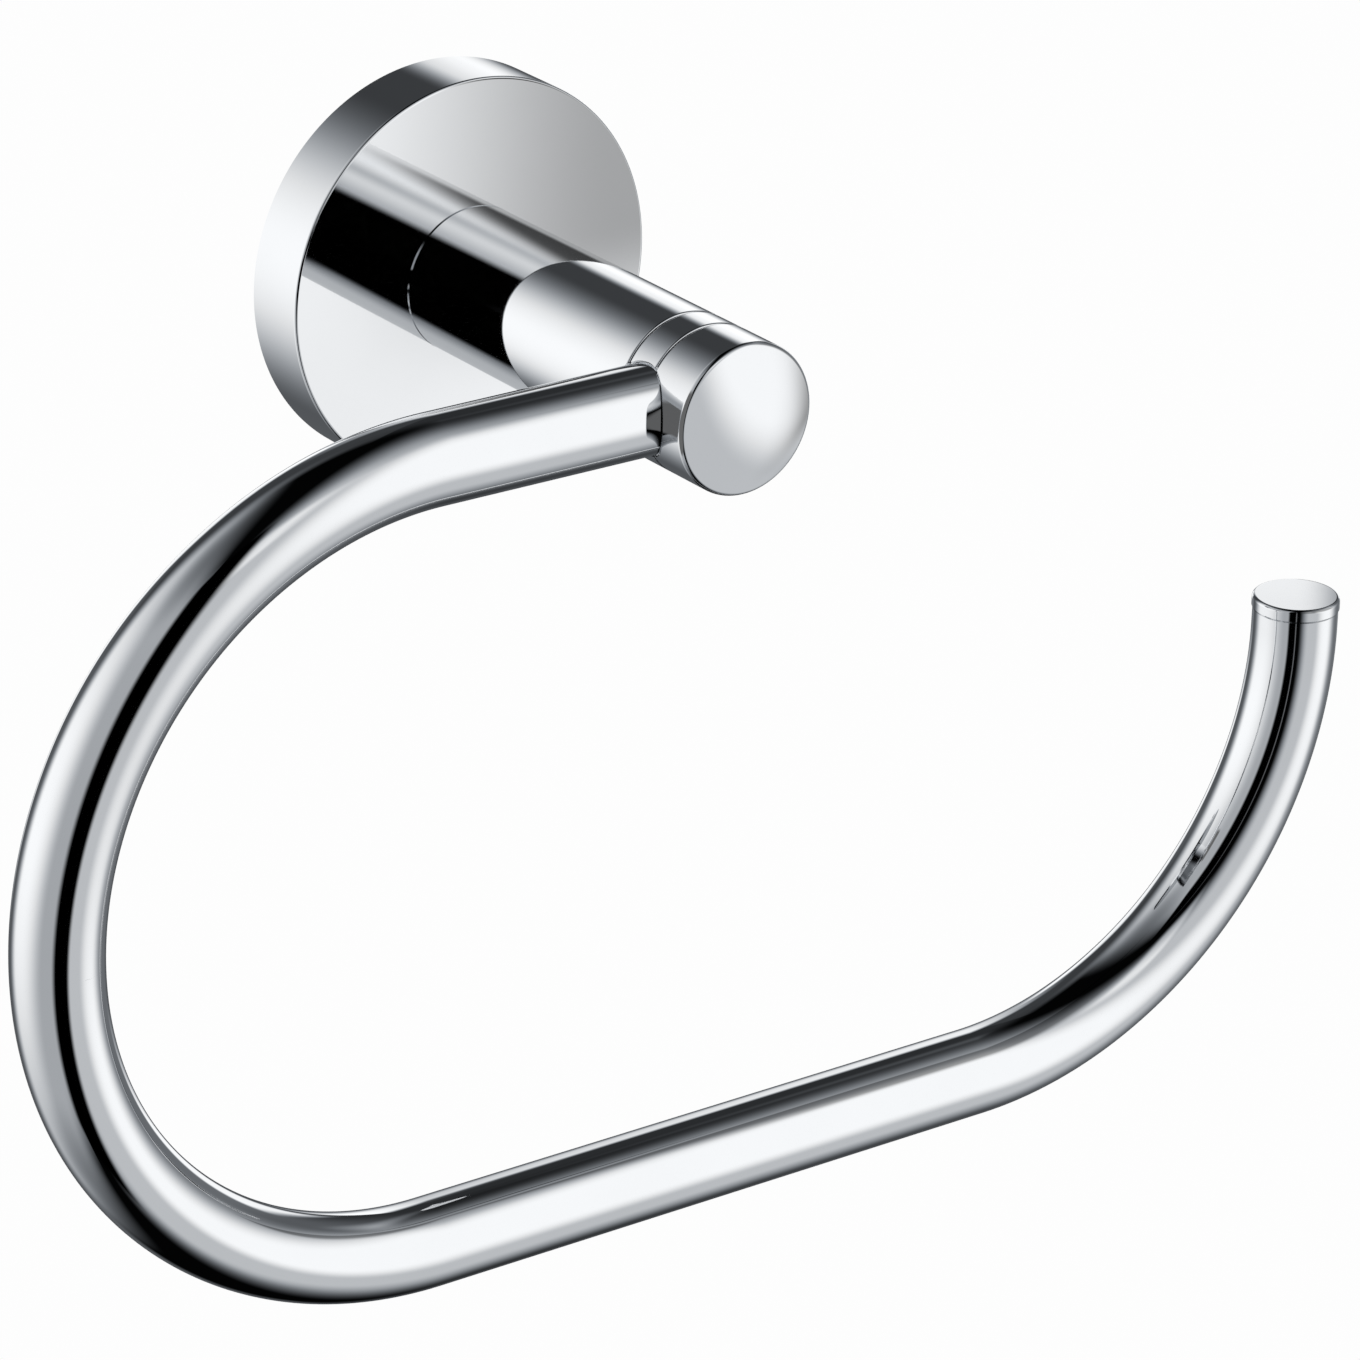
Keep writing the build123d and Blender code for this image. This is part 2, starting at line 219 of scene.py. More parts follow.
class FixingSizes(bpy.types.PropertyGroup):
    """Screws and washer"""

    post_screw: length("Post screw", "Thread radius of the post screw", 3.0)
    post_screw_seat: length("Post screw seat", "Underside of the screw's head", 6.4)
    post_screw_length: length("Post screw length", "Length under the head", 16.0)
    post_screw_pitch: length("Post screw pitch", "Thread pitch of the post screw", 1.0)
    head: length("Head", "Radius of the button head", 5.25)
    head_height: length("Head height", "Height of the button head", 3.3)
    head_land: length("Head land", "Straight part of the head's side", 0.6)
    head_top: length("Head top", "Radius of the head's flat top", 4.0)
    head_socket: length("Head socket", "Socket across flats", 4.0)
    head_socket_depth: length("Head socket depth", "Depth of the socket", 2.0)
    washer: length("Washer", "Outer radius of the washer", 6.0)
    washer_hole: length("Washer hole", "Inner radius of the washer", 3.2)
    washer_height: length("Washer height", "Thickness of the washer", 1.6)
    washer_break: length("Washer bevel", "Bevel of the washer's edge", 0.2)
    lock_screw: length("Lock screw", "Thread radius of the screw in the spindle", 2.5)
    lock_screw_back: length("Lock screw back", "Where the lock screw bears on the insert", 65.5)
    lock_screw_pitch: length("Lock screw pitch", "Thread pitch of the lock screw", 0.8)
    lock_screw_socket: length("Lock screw socket", "Socket across flats", 2.5)
    rim_screw: length("Rim screw", "Thread radius of the screw under the flange", 2.0)
    rim_screw_low: length("Rim screw low", "Lower end of the rim screw, below the axis", 27.6)
    rim_screw_tip: length("Rim screw tip", "Point of the rim screw, below the axis", 22.6)
    rim_screw_point: length("Rim screw point", "Radius of its flat point", 0.4)
    rim_screw_pitch: length("Rim screw pitch", "Thread pitch of the rim screw", 0.7)
    rim_screw_socket: length("Rim screw socket", "Socket across flats", 2.0)
    socket_depth: length("Socket depth", "Depth of the set screws' sockets", 1.8)
    end_break: length("End bevel", "Bevel of the screws' ends", 0.4)
    thread_share: share("Thread depth", "Depth of a thread as a share of its pitch", 0.56)


class FinishColours(bpy.types.PropertyGroup):
    """Colours of the finishes, and their roughness where they are clean and where a film dulls them"""

    chrome: colour("Chrome", "Colour of the polished plating", (0.79, 0.80, 0.812))
    chrome_haze: levels("Chrome haze", "Roughness of the plating, clean and filmed", 0.018, 0.045)
    bracket: colour("Zinc", "Colour of the plated bracket", (0.60, 0.61, 0.62))
    bracket_haze: levels("Zinc haze", "Roughness of the bracket, clean and filmed", 0.32, 0.52)
    screw: colour("Steel", "Colour of the screws and the washer", (0.66, 0.66, 0.67))
    screw_haze: levels("Steel haze", "Roughness of the screws, clean and filmed", 0.16, 0.3)
    insert: colour("Brass", "Colour of the turned insert", (0.78, 0.62, 0.32))
    insert_haze: levels("Brass haze", "Roughness of the insert, clean and filmed", 0.18, 0.34)


class StudioLight(bpy.types.PropertyGroup):
    """Camera, floor, the soft lights round the holder, and the cards and flags that show in its mirrors"""

    camera_place: FloatVectorProperty(
        name="Camera", description="Where the camera stands", size=3, subtype="XYZ", unit="LENGTH",
        default=(-0.458189, -0.686314, 0.293771), precision=5,
    )
    camera_azimuth: turn("Azimuth", "Turn of the camera about the upright", -36.171)
    camera_elevation: turn("Elevation", "Height of the camera over the holder", 23.296)
    camera_roll: turn("Roll", "Turn of the camera about its own axis", 1.312)
    camera_lens: level("Lens", "Focal length on a 36 mm sensor", 171.45)
    floor_height: length("Floor", "Height of the floor", -420.0)
    floor_size: length("Floor size", "Half the side of the floor", 6000.0)
    floor_tone: level("Floor tone", "Brightness of the floor and the backdrop", 0.985)
    shade: colour("Shade colour", "Colour of the studio where it is dim", (0.875, 0.93, 1.0))
    bright: colour("Light colour", "Colour of the studio where it is bright", (0.99, 0.995, 1.0))
    tint_stops: levels("Colour stops", "Brightness where the shade ends and the light begins", 0.12, 0.75)
    power: level("Power", "Brightness of all the lights together", 1.25)
    ambient: level("Ambient", "Light in the dark of the studio", 0.001)
    behind: levels("Behind", "Where the space behind the holder ends", -0.75, -0.5)
    poles: levels("Poles", "Where the space overhead and underneath begins", 0.65, 0.88)
    high_fill: level("High fill", "Light from above behind the holder", 0.025)
    low_fill: level("Low fill", "Light from below behind the holder", 0.07)
    fill_rise: levels("Fill rise", "Heights where the low fill gives way to the high one", 0.05, 0.35)
    fill_front: levels("Fill front", "Where the fill ends towards the camera", -0.5, 0.0)
    rear_light: level("Rear lights", "Brightness of the two soft lights behind the holder", 0.8)
    rear_across: levels("Rear across", "Sides of the rear lights, left and right", 0.14, 0.22, 0.42, 0.52)
    rear_upright: levels("Rear upright", "Ends of the rear lights", -0.42, -0.25, 0.08, 0.28)
    strip: level("Strip", "Brightness of the strip behind the holder", 1.0)
    strip_across: levels("Strip across", "Sides of the strip", -0.346, 0.125, 0.095, 0.105)
    strip_upright: levels("Strip upright", "Ends of the strip", -0.215, 0.162, 0.339, 0.494)
    left_field: level("Left field", "Brightness of the left light", 0.39)
    left_core: level("Left core", "Extra brightness at the left light's middle", 0.67)
    left_turn: turn("Left turn", "Turn of the left light's middle from the camera", -75.0)
    left_edge: levels("Left edge", "Where the left light begins beside the camera", -0.01, 0.01)
    left_middle: levels("Left middle", "Where the left light's middle begins", -1.165, -0.472)
    left_ends: levels("Left ends", "Where the left light ends overhead and underneath", 0.12, 0.4)
    left_back: levels("Left back", "Where the left light ends behind the holder", -0.7, -0.27)
    left_flare: level("Left flare", "Reach of the left light's ends behind the holder", 0.03)
    left_behind: share("Left behind", "Share of the left light behind the holder", 0.05)
    left_above: share("Left above", "Share of the left light overhead", 0.2)
    right_field: level("Right field", "Brightness of the right light", 0.517)
    right_core: level("Right core", "Extra brightness at the right light's middle", 0.43)
    right_lift: level("Right lift", "Rise of the right light's middle", 0.159)
    right_edge: levels("Right edge", "Where the right light begins beside the camera", 0.119, 0.517)
    right_middle: levels("Right middle", "Where the right light's middle begins", 0.672, 0.864)
    right_back: levels("Right back", "Where the right light ends behind the holder", -0.6, 0.05)
    right_low: levels("Right low", "Heights of the right light's low part", -0.9, -0.55, -0.45, -0.15)
    right_flare: level("Right flare", "Reach of the right light's low part behind the holder", 0.1)
    right_behind: share("Right behind", "Share of the right light behind the holder", 0.15)
    right_above: share("Right above", "Share of the right light overhead", 0.4)
    top_light: level("Top light", "Brightness of the small light over the camera", 0.3)
    top_across: levels("Top across", "Sides of the top light", 0.1, 0.25, 0.45, 0.65)
    top_upright: levels("Top upright", "Ends of the top light", 0.42, 0.55, 0.66, 0.78)
    overhead: levels("Overhead", "Heights where the side lights fade upwards", 0.711, 0.994)
    underneath: levels("Underneath", "Heights where the side lights fade downwards", -0.994, -0.737)
    below: share("Below", "Share of the side lights underneath", 0.3)
    card_out: length("Card", "From the wall to the dark card before the camera", 370.0)
    card_across: span("Card across", "Soft sides of the dark card", -416.0, -309.0, -151.0, -96.0)
    card_upright: span("Card upright", "Soft ends of the dark card", -620.0, -520.0, 460.0, 560.0)
    flag_out: length("Flange flag", "From the wall to the flag beside the flange", 103.0)
    flag_across: span("Flange flag across", "Soft sides of the flange's flag", 31.0, 91.0, 160.0, 220.0)
    flag_upright: span("Flange flag upright", "Soft ends of the flange's flag", -61.0, -36.0, 90.0, 150.0)
    flag_dark: share("Flange flag darkness", "Share of the light that the flange's flag takes", 0.595)
    post_flag_out: length("Post flag", "From the wall to the flag over the post", 76.0)
    post_flag_across: span("Post flag across", "Soft sides of the post's flag", 20.0, 56.0, 75.0, 90.0)
    post_flag_upright: span("Post flag upright", "Soft ends of the post's flag", 8.0, 24.0, 70.0, 95.0)
    post_flag_dark: share("Post flag darkness", "Share of the light that the post's flag takes", 0.85)
    bar_flag_out: length("Bar flag", "From the wall to the flag between the flange and the bar", 54.0)
    bar_flag_across: span("Bar flag across", "Soft sides of the bar's flag", -95.0, -90.0, -16.0, -12.0)
    bar_flag_upright: span("Bar flag upright", "Soft ends of the bar's flag", -22.0, -10.0, 9.0, 12.0)
    hub_card_left: length("Hub card", "From the post's axis to the small grey card beside the cap", 18.0)
    hub_card_across: span("Hub card across", "Soft sides of the hub's card", -88.0, -83.0, -70.0, -69.0)
    hub_card_upright: span("Hub card upright", "Soft ends of the hub's card", -13.0, -10.0, 10.0, 13.0)
    hub_card_tone: share("Hub card tone", "Grey of the hub's card", 0.16)


# Mesh tools

def new_piece(name, mesh):
    piece = bpy.data.objects.new(name, mesh)
    bpy.context.scene.collection.objects.link(piece)
    return piece


def closed_mesh(name, corners, faces):
    mesh = bpy.data.meshes.new(name)
    mesh.from_pydata([tuple(corner) for corner in corners], [], faces)
    work = bmesh.new()
    work.from_mesh(mesh)
    bmesh.ops.recalc_face_normals(work, faces=work.faces)
    work.to_mesh(mesh)
    work.free()
    return mesh


def line(start, end):
    """A straight part of a turned outline, from one (radius, height) to another."""
    return {"kind": "line", "points": [start, end]}


def arc(centre, radius, first, last, count=ROUND_STEPS):
    """A rounded part of a turned outline, between two angles in degrees."""
    angles = np.radians(np.linspace(first, last, count + 1))
    points = [(centre[0] + radius * math.cos(a), centre[1] + radius * math.sin(a)) for a in angles]
    return {"kind": "arc", "points": points, "centre": centre, "radius": radius}


def lines(*points):
    return [line(a, b) for a, b in zip(points, points[1:])]


def turned(name, outline, axis, origin, sides):
    """A closed mesh turned about an axis from an outline of lines and arcs."""
    profile = []
    for part in outline:
        for point in part["points"]:
            if not profile or math.dist(point, profile[-1]) > SAME_POINT:
                profile.append(point)
    looped = math.dist(profile[0], profile[-1]) < SAME_POINT
    if looped:
        profile.pop()
    across, up, along = axis
    corners, rings = [], []
    for radius, height in profile:
        if radius < SAME_POINT:
            rings.append([len(corners)] * sides)
            corners.append(origin + along * height)
            continue
        rings.append(list(range(len(corners), len(corners) + sides)))
        for k in range(sides):
            angle = 2 * math.pi * k / sides
            corner = origin + along * height + across * radius * math.cos(angle)
            corners.append(corner + up * radius * math.sin(angle))
    faces = []
    for low, high in zip(rings, rings[1:] + rings[:1] if looped else rings[1:]):
        for k in range(sides):
            after = (k + 1) % sides
            face = list(dict.fromkeys((low[k], low[after], high[after], high[k])))
            if len(face) > 2:
                faces.append(face)
    return closed_mesh(name, corners, faces)


def rod(axis, origin, radius, low, high, sides):
    """A plain cylinder that serves as a cutter."""
    return turned("rod", lines((0, low), (radius, low), (radius, high), (0, high)), axis, origin, sides)


def prism(axis, origin, outline, low, high):
    """A straight prism on a flat outline that serves as a cutter."""
    across, up, along = axis
    count = len(outline)
    corners = [origin + across * a + up * b + along * h for h in (low, high) for a, b in outline]
    faces = [[k, (k + 1) % count, count + (k + 1) % count, count + k] for k in range(count)]
    return closed_mesh("prism", corners, faces + [list(range(count)), list(range(count, 2 * count))])


def hexagon(flats):
    radius = flats / math.sqrt(3)
    angles = [math.radians(60 * k) for k in range(6)]
    return [(radius * math.cos(angle), radius * math.sin(angle)) for angle in angles]


def cut(mesh, *cutters):
    """The mesh with every cutter taken out of it."""
    piece = new_piece("cutting", mesh)
    tools = [new_piece("cutter", cutter) for cutter in cutters]
    for tool in tools:
        step = piece.modifiers.new("cut", "BOOLEAN")
        step.operation = "DIFFERENCE"
        step.solver = "MANIFOLD"
        step.object = tool
    return freeze(piece, mesh.name, tools)


def freeze(piece, name, helpers=()):
    """The evaluated shape of a piece as a plain mesh; the piece and its helpers are removed."""
    bpy.context.view_layer.update()
    shape = piece.evaluated_get(bpy.context.evaluated_depsgraph_get())
    mesh = bpy.data.meshes.new_from_object(shape)
    mesh.name = name
    for used in [piece, *helpers]:
        bpy.data.objects.remove(used)
    return mesh


def from_outline(part, radius, height):
    """Distance from one part of a turned outline, and the outline's normal there."""
    if part["kind"] == "arc":
        away = np.stack([radius - part["centre"][0], height - part["centre"][1]], 1)
        reach = np.linalg.norm(away, axis=1)
        ends = np.array(part["points"])
        gap = np.linalg.norm(np.stack([radius, height], 1)[:, None] - ends[None, [0, -1]], axis=2).min(1)
        chord = np.linalg.norm(ends[0] - ends[-1])
        distance = np.maximum(np.abs(reach - part["radius"]), np.maximum(gap - chord, 0))
        return distance, away / np.maximum(reach, LEAST_REACH)[:, None]
    start, end = (np.array(point) for point in part["points"])
    course = (end - start) / np.linalg.norm(end - start)
    normal = np.array([course[1], -course[0]])
    offset = np.stack([radius, height], 1) - start
    return np.abs(offset @ normal), np.tile(normal, (len(radius), 1))


def true_normals(mesh, outline, axis, origin, bores=()):
    """Sets the exact surface normals, so that mirrored lines run clean over turned faces and bores."""
    count = len(mesh.vertices)
    places = np.empty(count * 3)
    mesh.vertices.foreach_get("co", places)
    places = places.reshape(-1, 3)
    surfaces = []
    across, up, along = (np.array(direction) for direction in axis)
    local = places - np.array(origin)
    a, b, height = local @ across, local @ up, local @ along
    radius = np.hypot(a, b)
    outward = (a[:, None] * across + b[:, None] * up) / np.maximum(radius, LEAST_REACH)[:, None]
    for part in outline:
        if part["kind"] == "line" and abs(part["points"][0][1] - part["points"][1][1]) < SAME_POINT:
            continue
        distance, normal = from_outline(part, radius, height)
        surfaces.append((distance, normal[:, :1] * outward + normal[:, 1:] * along))
    for bore_axis, bore_origin, bore_radius in bores:
        direction = np.array(bore_axis[2])
        offset = places - np.array(bore_origin)
        offset = offset - np.outer(offset @ direction, direction)
        reach = np.linalg.norm(offset, axis=1)
        surfaces.append((np.abs(reach - bore_radius), offset / np.maximum(reach, LEAST_REACH)[:, None]))
    set_normals(mesh, surfaces)


def set_normals(mesh, surfaces):
    """Gives each face the normals of the curved surface that it lies on; other faces stay flat."""
    loops, faces = len(mesh.loops), len(mesh.polygons)
    corner = np.empty(loops, np.int32)
    first = np.empty(faces, np.int32)
    total = np.empty(faces, np.int32)
    flat = np.empty(faces * 3)
    mesh.loops.foreach_get("vertex_index", corner)
    mesh.polygons.foreach_get("loop_start", first)
    mesh.polygons.foreach_get("loop_total", total)
    mesh.polygons.foreach_get("normal", flat)
    owner = np.repeat(np.arange(faces), total)
    flat = flat.reshape(-1, 3)[owner]
    normals = flat.copy()
    best = np.full(faces, SURFACE_LIMIT)
    for distance, normal in surfaces:
        worst = np.maximum.reduceat(distance[corner], first)
        facing = np.abs(np.add.reduceat((normal[corner] * flat).sum(1), first)) / total
        better = (worst < best) & (facing > FACING_LIMIT)
        best = np.where(better, worst, best)
        chosen = better[owner]
        normals[chosen] = normal[corner[chosen]]
    side = np.sign((normals * flat).sum(1))
    normals *= np.where(side == 0, 1, side)[:, None]
    mesh.polygons.foreach_set("use_smooth", np.ones(faces, bool))
    mesh.normals_split_custom_set(normals.tolist())


def open_edges(mesh):
    """How many edges of a mesh don't join exactly two faces."""
    work = bmesh.new()
    work.from_mesh(mesh)
    count = sum(not edge.is_manifold for edge in work.edges)
    work.free()
    return count


def dress(mesh, node, slot):
    """Puts a finished mesh in place of its CAD node, after checking that it is closed and fits the node."""
    mesh.materials.clear()
    mesh.materials.append(finish(slot))
    if open_edges(mesh):
        raise RuntimeError(f"{node} isn't a closed mesh")
    piece = new_piece(node + "_dressed", mesh)
    low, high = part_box(node)
    corners = np.array([vertex.co for vertex in mesh.vertices])
    ends = ((corners.min(0), low), (corners.max(0), high))
    misfit = max(np.abs(corner - np.array(limit)).max() for corner, limit in ends)
    if misfit > FIT_LIMIT:
        raise RuntimeError(f"{node} is off its CAD node by {misfit / MM:.3f} mm")
    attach(piece, "root")
    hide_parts(node)


def turned_piece(node, slot, outline, axis, origin, cutters=(), bores=(), floors=()):
    """Turns a piece, takes its cutters out, sets its normals and puts it in place of its CAD node."""
    mesh = turned(node, outline, axis, origin, SIDES[node])
    if cutters:
        mesh = cut(mesh, *cutters)
    true_normals(mesh, [*outline, *floors], axis, origin, bores)
    dress(mesh, node, slot)


# Node tools

SOCKETS = {float: "NodeSocketFloat", int: "NodeSocketInt", tuple: "NodeSocketColor"}


def add_node(tree, kind, inputs=None, **settings):
    node = tree.nodes.new(kind)
    for name, value in settings.items():
        setattr(node, name, value)
    for name, value in (inputs or {}).items():
        if isinstance(value, bpy.types.NodeSocket):
            tree.links.new(value, node.inputs[name])
        else:
            node.inputs[name].default_value = value
    return node


def sums(tree, operation, first, second=None, third=None):
    values = {k: v for k, v in enumerate((first, second, third)) if v is not None}
    return add_node(tree, "ShaderNodeMath", values, operation=operation).outputs[0]


def soft_step(tree, value, start, full, low=0.0, high=1.0):
    """Rises smoothly from low to high as the value goes from start to full."""
    inputs = {"Value": value, "From Min": start, "From Max": full, "To Min": low, "To Max": high}
    return add_node(tree, "ShaderNodeMapRange", inputs, interpolation_type="SMOOTHSTEP").outputs[0]


def soft_band(tree, value, ends, full=1.0):
    """Rises to full between the first two ends and falls back to nothing between the last two."""
    rise = soft_step(tree, value, ends[0], ends[1], 0.0, full)
    return sums(tree, "MULTIPLY", rise, soft_step(tree, value, ends[2], ends[3], 1.0, 0.0))


def new_group(name, kind, inputs, outputs):
    """An empty node group with named sockets: an input is given as its default or as its kind of socket."""
    tree = bpy.data.node_groups.new(name, kind)
    for label, given in inputs.items():
        socket = SOCKETS.get(type(given), given)
        item = tree.interface.new_socket(label, in_out="INPUT", socket_type=socket)
        if socket is not given:
            item.default_value = given
    for label, socket in outputs.items():
        tree.interface.new_socket(label, in_out="OUTPUT", socket_type=socket)
    return tree, add_node(tree, "NodeGroupInput").outputs, add_node(tree, "NodeGroupOutput").inputs


# Finishes

FILM_EDGES = (0.35, 0.7)
FILM_HAZE, MARK_HAZE = 0.65, 0.35
RING_WAVE = {"Distortion": 0.4, "Detail": 1.0}
WAVES_PER_UNIT = 20.0


def plating_marks():
    """Shader group: a thin uneven film and fine polishing marks on a metal."""
    found = bpy.data.node_groups.get("Plating marks")
    if found:
        return found
    tree, given, made = new_group(
        "Plating marks", "ShaderNodeTree",
        {
            "Colour": (0.8, 0.8, 0.8, 1.0), "Film colour": (0.7, 0.7, 0.7, 1.0), "Film scale": 40.0,
            "Mark scale": 900.0, "Clean": 0.02, "Filmed": 0.05,
        },
        {"Colour": "NodeSocketColor", "Roughness": "NodeSocketFloat", "Height": "NodeSocketFloat"},
    )
    place = add_node(tree, "ShaderNodeTexCoord").outputs["Object"]
    patches = []
    for scale, detail, roughness in (("Film scale", 4.0, 0.6), ("Mark scale", 2.0, 0.5)):
        noise = {"Vector": place, "Scale": given[scale], "Detail": detail, "Roughness": roughness}
        patches.append(add_node(tree, "ShaderNodeTexNoise", noise).outputs[0])
    film, marks = soft_step(tree, patches[0], *FILM_EDGES), patches[1]
    blend = add_node(tree, "ShaderNodeMix", data_type="RGBA")
    for name, source in (("Factor", film), ("A", given["Colour"]), ("B", given["Film colour"])):
        tree.links.new(source, next(s for s in blend.inputs if s.name == name and s.enabled))
    haze = sums(tree, "MULTIPLY_ADD", marks, MARK_HAZE, sums(tree, "MULTIPLY", film, FILM_HAZE))
    spread = sums(tree, "SUBTRACT", given["Filmed"], given["Clean"])
    tree.links.new(next(s for s in blend.outputs if s.enabled), made["Colour"])
    tree.links.new(sums(tree, "MULTIPLY_ADD", haze, spread, given["Clean"]), made["Roughness"])
    tree.links.new(marks, made["Height"])
    return tree


def plating_grains(tree, place, fineness):
    """The fine grains of a zinc plating."""
    inputs = {"Vector": place, "Scale": fineness}
    return add_node(tree, "ShaderNodeTexVoronoi", inputs, feature="F1").outputs["Distance"]


def turning_rings(tree, place, spacing, direction):
    """The fine rings that a cutting tool leaves on a turned piece."""
    wave = {"Vector": place, "Scale": 1.0 / (WAVES_PER_UNIT * spacing), **RING_WAVE}
    bands = add_node(tree, "ShaderNodeTexWave", wave, wave_type="BANDS", bands_direction=direction)
    return bands.outputs["Fac"]


# Slot: name, the film's share of the colour, film and mark scale, height of the marks, and the relief
# that lies under them with its amount and its sizes
FINISHES = {
    "chrome": ("Polished chrome", (0.985, 0.985, 0.985), 45.0, 1500.0, 0.000000012, None),
    "bracket": (
        "Plated zinc", (0.93, 0.92, 0.86), 160.0, 2600.0, 0.000004, (plating_grains, 0.6, 1400.0)
    ),
    "screw": (
        "Bright steel", (0.9, 0.9, 0.93), 300.0, 3200.0, 0.000001, (turning_rings, 0.8, 0.00025, "Y")
    ),
    "insert": (
        "Turned brass", (0.88, 0.84, 0.74), 220.0, 2400.0, 0.000002, (turning_rings, 1.4, 0.0003, "X")
    ),
}


def finish(slot):
    """The metal of a slot, with an uneven film and fine marks; it is made when it is first asked for."""
    name, film, film_scale, mark_scale, bump, relief = FINISHES[slot]
    found = bpy.data.materials.get(name)
    if found:
        return found
    look = bpy.context.scene.towel_finish
    tint = tuple(getattr(look, slot))
    clean, filmed = getattr(look, slot + "_haze")
    material = bpy.data.materials.new(name)
    material.use_nodes = True
    material.diffuse_color = (*tint, 1.0)
    tree = material.node_tree
    shader = tree.nodes["Principled BSDF"]
    shader.inputs["Metallic"].default_value = 1.0
    values = {
        "Colour": (*tint, 1.0), "Film colour": (*(part * value for part, value in zip(film, tint)), 1.0),
        "Clean": clean, "Filmed": filmed, "Film scale": film_scale, "Mark scale": mark_scale,
    }
    marks = add_node(tree, "ShaderNodeGroup", values, node_tree=plating_marks()).outputs
    height = marks["Height"]
    if relief:
        texture, amount, *sizes = relief
        place = add_node(tree, "ShaderNodeTexCoord").outputs["Object"]
        height = sums(tree, "MULTIPLY_ADD", texture(tree, place, *sizes), amount, height)
    bumps = add_node(tree, "ShaderNodeBump", {"Strength": 1.0, "Distance": bump, "Height": height})
    tree.links.new(marks["Colour"], shader.inputs["Base Color"])
    tree.links.new(marks["Roughness"], shader.inputs["Roughness"])
    tree.links.new(bumps.outputs["Normal"], shader.inputs["Normal"])
    return material


# Threads and the ring, in Geometry Nodes

THREAD_FLANK = {"From Min": 0.12, "From Max": 0.78, "To Min": 1.0, "To Max": 0.0}
THREAD_STEPS = 10
SHANK_SHARE = 0.998
WELD_DISTANCE = 0.000001


def paint(tree, shape, given, made):
    """Ends a tree: makes the shape one real mesh and gives it the material."""
    whole = add_node(tree, "GeometryNodeRealizeInstances", {"Geometry": shape}).outputs[0]
    painted = add_node(tree, "GeometryNodeSetMaterial", {"Geometry": whole, "Material": given["Material"]})
    tree.links.new(painted.outputs[0], made["Geometry"])


def thread_tree():
    """Geometry Nodes: cuts a thread into a plain shank that stands on the Z axis."""
    found = bpy.data.node_groups.get("Screw thread")
    if found:
        return found
    tree, given, made = new_group(
        "Screw thread", "GeometryNodeTree",
        {
            "Geometry": "NodeSocketGeometry", "Radius": 0.003, "Pitch": 0.001, "Depth": 0.0006, "Start": 0.0,
            "End": 0.01, "Material": "NodeSocketMaterial",
        },
        {"Geometry": "NodeSocketGeometry"},
    )
    tree.is_modifier = True
    place = add_node(tree, "GeometryNodeInputPosition").outputs[0]
    x, y, z = add_node(tree, "ShaderNodeSeparateXYZ", {0: place}).outputs
    start, end, pitch = given["Start"], given["End"], given["Pitch"]
    reach = sums(tree, "SQRT", sums(tree, "MULTIPLY_ADD", x, x, sums(tree, "MULTIPLY", y, y)))
    angle = sums(tree, "DIVIDE", sums(tree, "ARCTAN2", y, x), 2 * math.pi)
    turns = sums(tree, "SUBTRACT", sums(tree, "DIVIDE", z, pitch), angle)
    wave = sums(tree, "ABSOLUTE", sums(tree, "MULTIPLY_ADD", sums(tree, "FRACT", turns), 2.0, -1.0))
    groove = add_node(tree, "ShaderNodeMapRange", {"Value": wave, **THREAD_FLANK}).outputs[0]
    on_shank = sums(tree, "GREATER_THAN", reach, sums(tree, "MULTIPLY", given["Radius"], SHANK_SHARE))
    run_in = soft_step(tree, z, start, sums(tree, "ADD", start, pitch))
    run_out = soft_step(tree, z, sums(tree, "SUBTRACT", end, pitch), end, 1.0, 0.0)
    depth = sums(tree, "MULTIPLY", groove, given["Depth"])
    for mask in (on_shank, run_in, run_out):
        depth = sums(tree, "MULTIPLY", depth, mask)
    shrink = sums(tree, "DIVIDE", sums(tree, "MULTIPLY", depth, -1.0), reach)
    inward = {0: sums(tree, "MULTIPLY", x, shrink), 1: sums(tree, "MULTIPLY", y, shrink)}
    move = add_node(tree, "ShaderNodeCombineXYZ", inward).outputs[0]
    shaped = add_node(tree, "GeometryNodeSetPosition", {"Geometry": given["Geometry"], "Offset": move})
    paint(tree, shaped.outputs[0], given, made)
    return tree


def ring_tree():
    """Geometry Nodes: rounds the corners of the bar's route and sweeps the tube along it."""
    found = bpy.data.node_groups.get("Bent tube")
    if found:
        return found
    tree, given, made = new_group(
        "Bent tube", "GeometryNodeTree",
        {
            "Geometry": "NodeSocketGeometry", "Bend radius": 0.055, "Bend steps": 72, "Radius": 0.006,
            "Bore": 0.005, "Sides": 96, "Material": "NodeSocketMaterial",
        },
        {"Geometry": "NodeSocketGeometry"},
    )
    tree.is_modifier = True
    bends = {"Curve": given["Geometry"], "Radius": given["Bend radius"], "Count": given["Bend steps"]}
    route = add_node(tree, "GeometryNodeFilletCurve", bends, mode="POLY").outputs[0]
    walls = []
    for size in ("Radius", "Bore"):
        rim = {"Resolution": given["Sides"], "Radius": given[size]}
        circle = add_node(tree, "GeometryNodeCurvePrimitiveCircle", rim).outputs[0]
        swept = add_node(tree, "GeometryNodeCurveToMesh", {"Curve": route, "Profile Curve": circle})
        walls.append(swept.outputs[0])
    inside = add_node(tree, "GeometryNodeFlipFaces", {"Mesh": walls[1]}).outputs[0]
    both = add_node(tree, "GeometryNodeJoinGeometry")
    for wall in (walls[0], inside):
        tree.links.new(wall, both.inputs[0])
    weld = {"Geometry": both.outputs[0], "Distance": WELD_DISTANCE}
    paint(tree, add_node(tree, "GeometryNodeMergeByDistance", weld).outputs[0], given, made)
    return tree


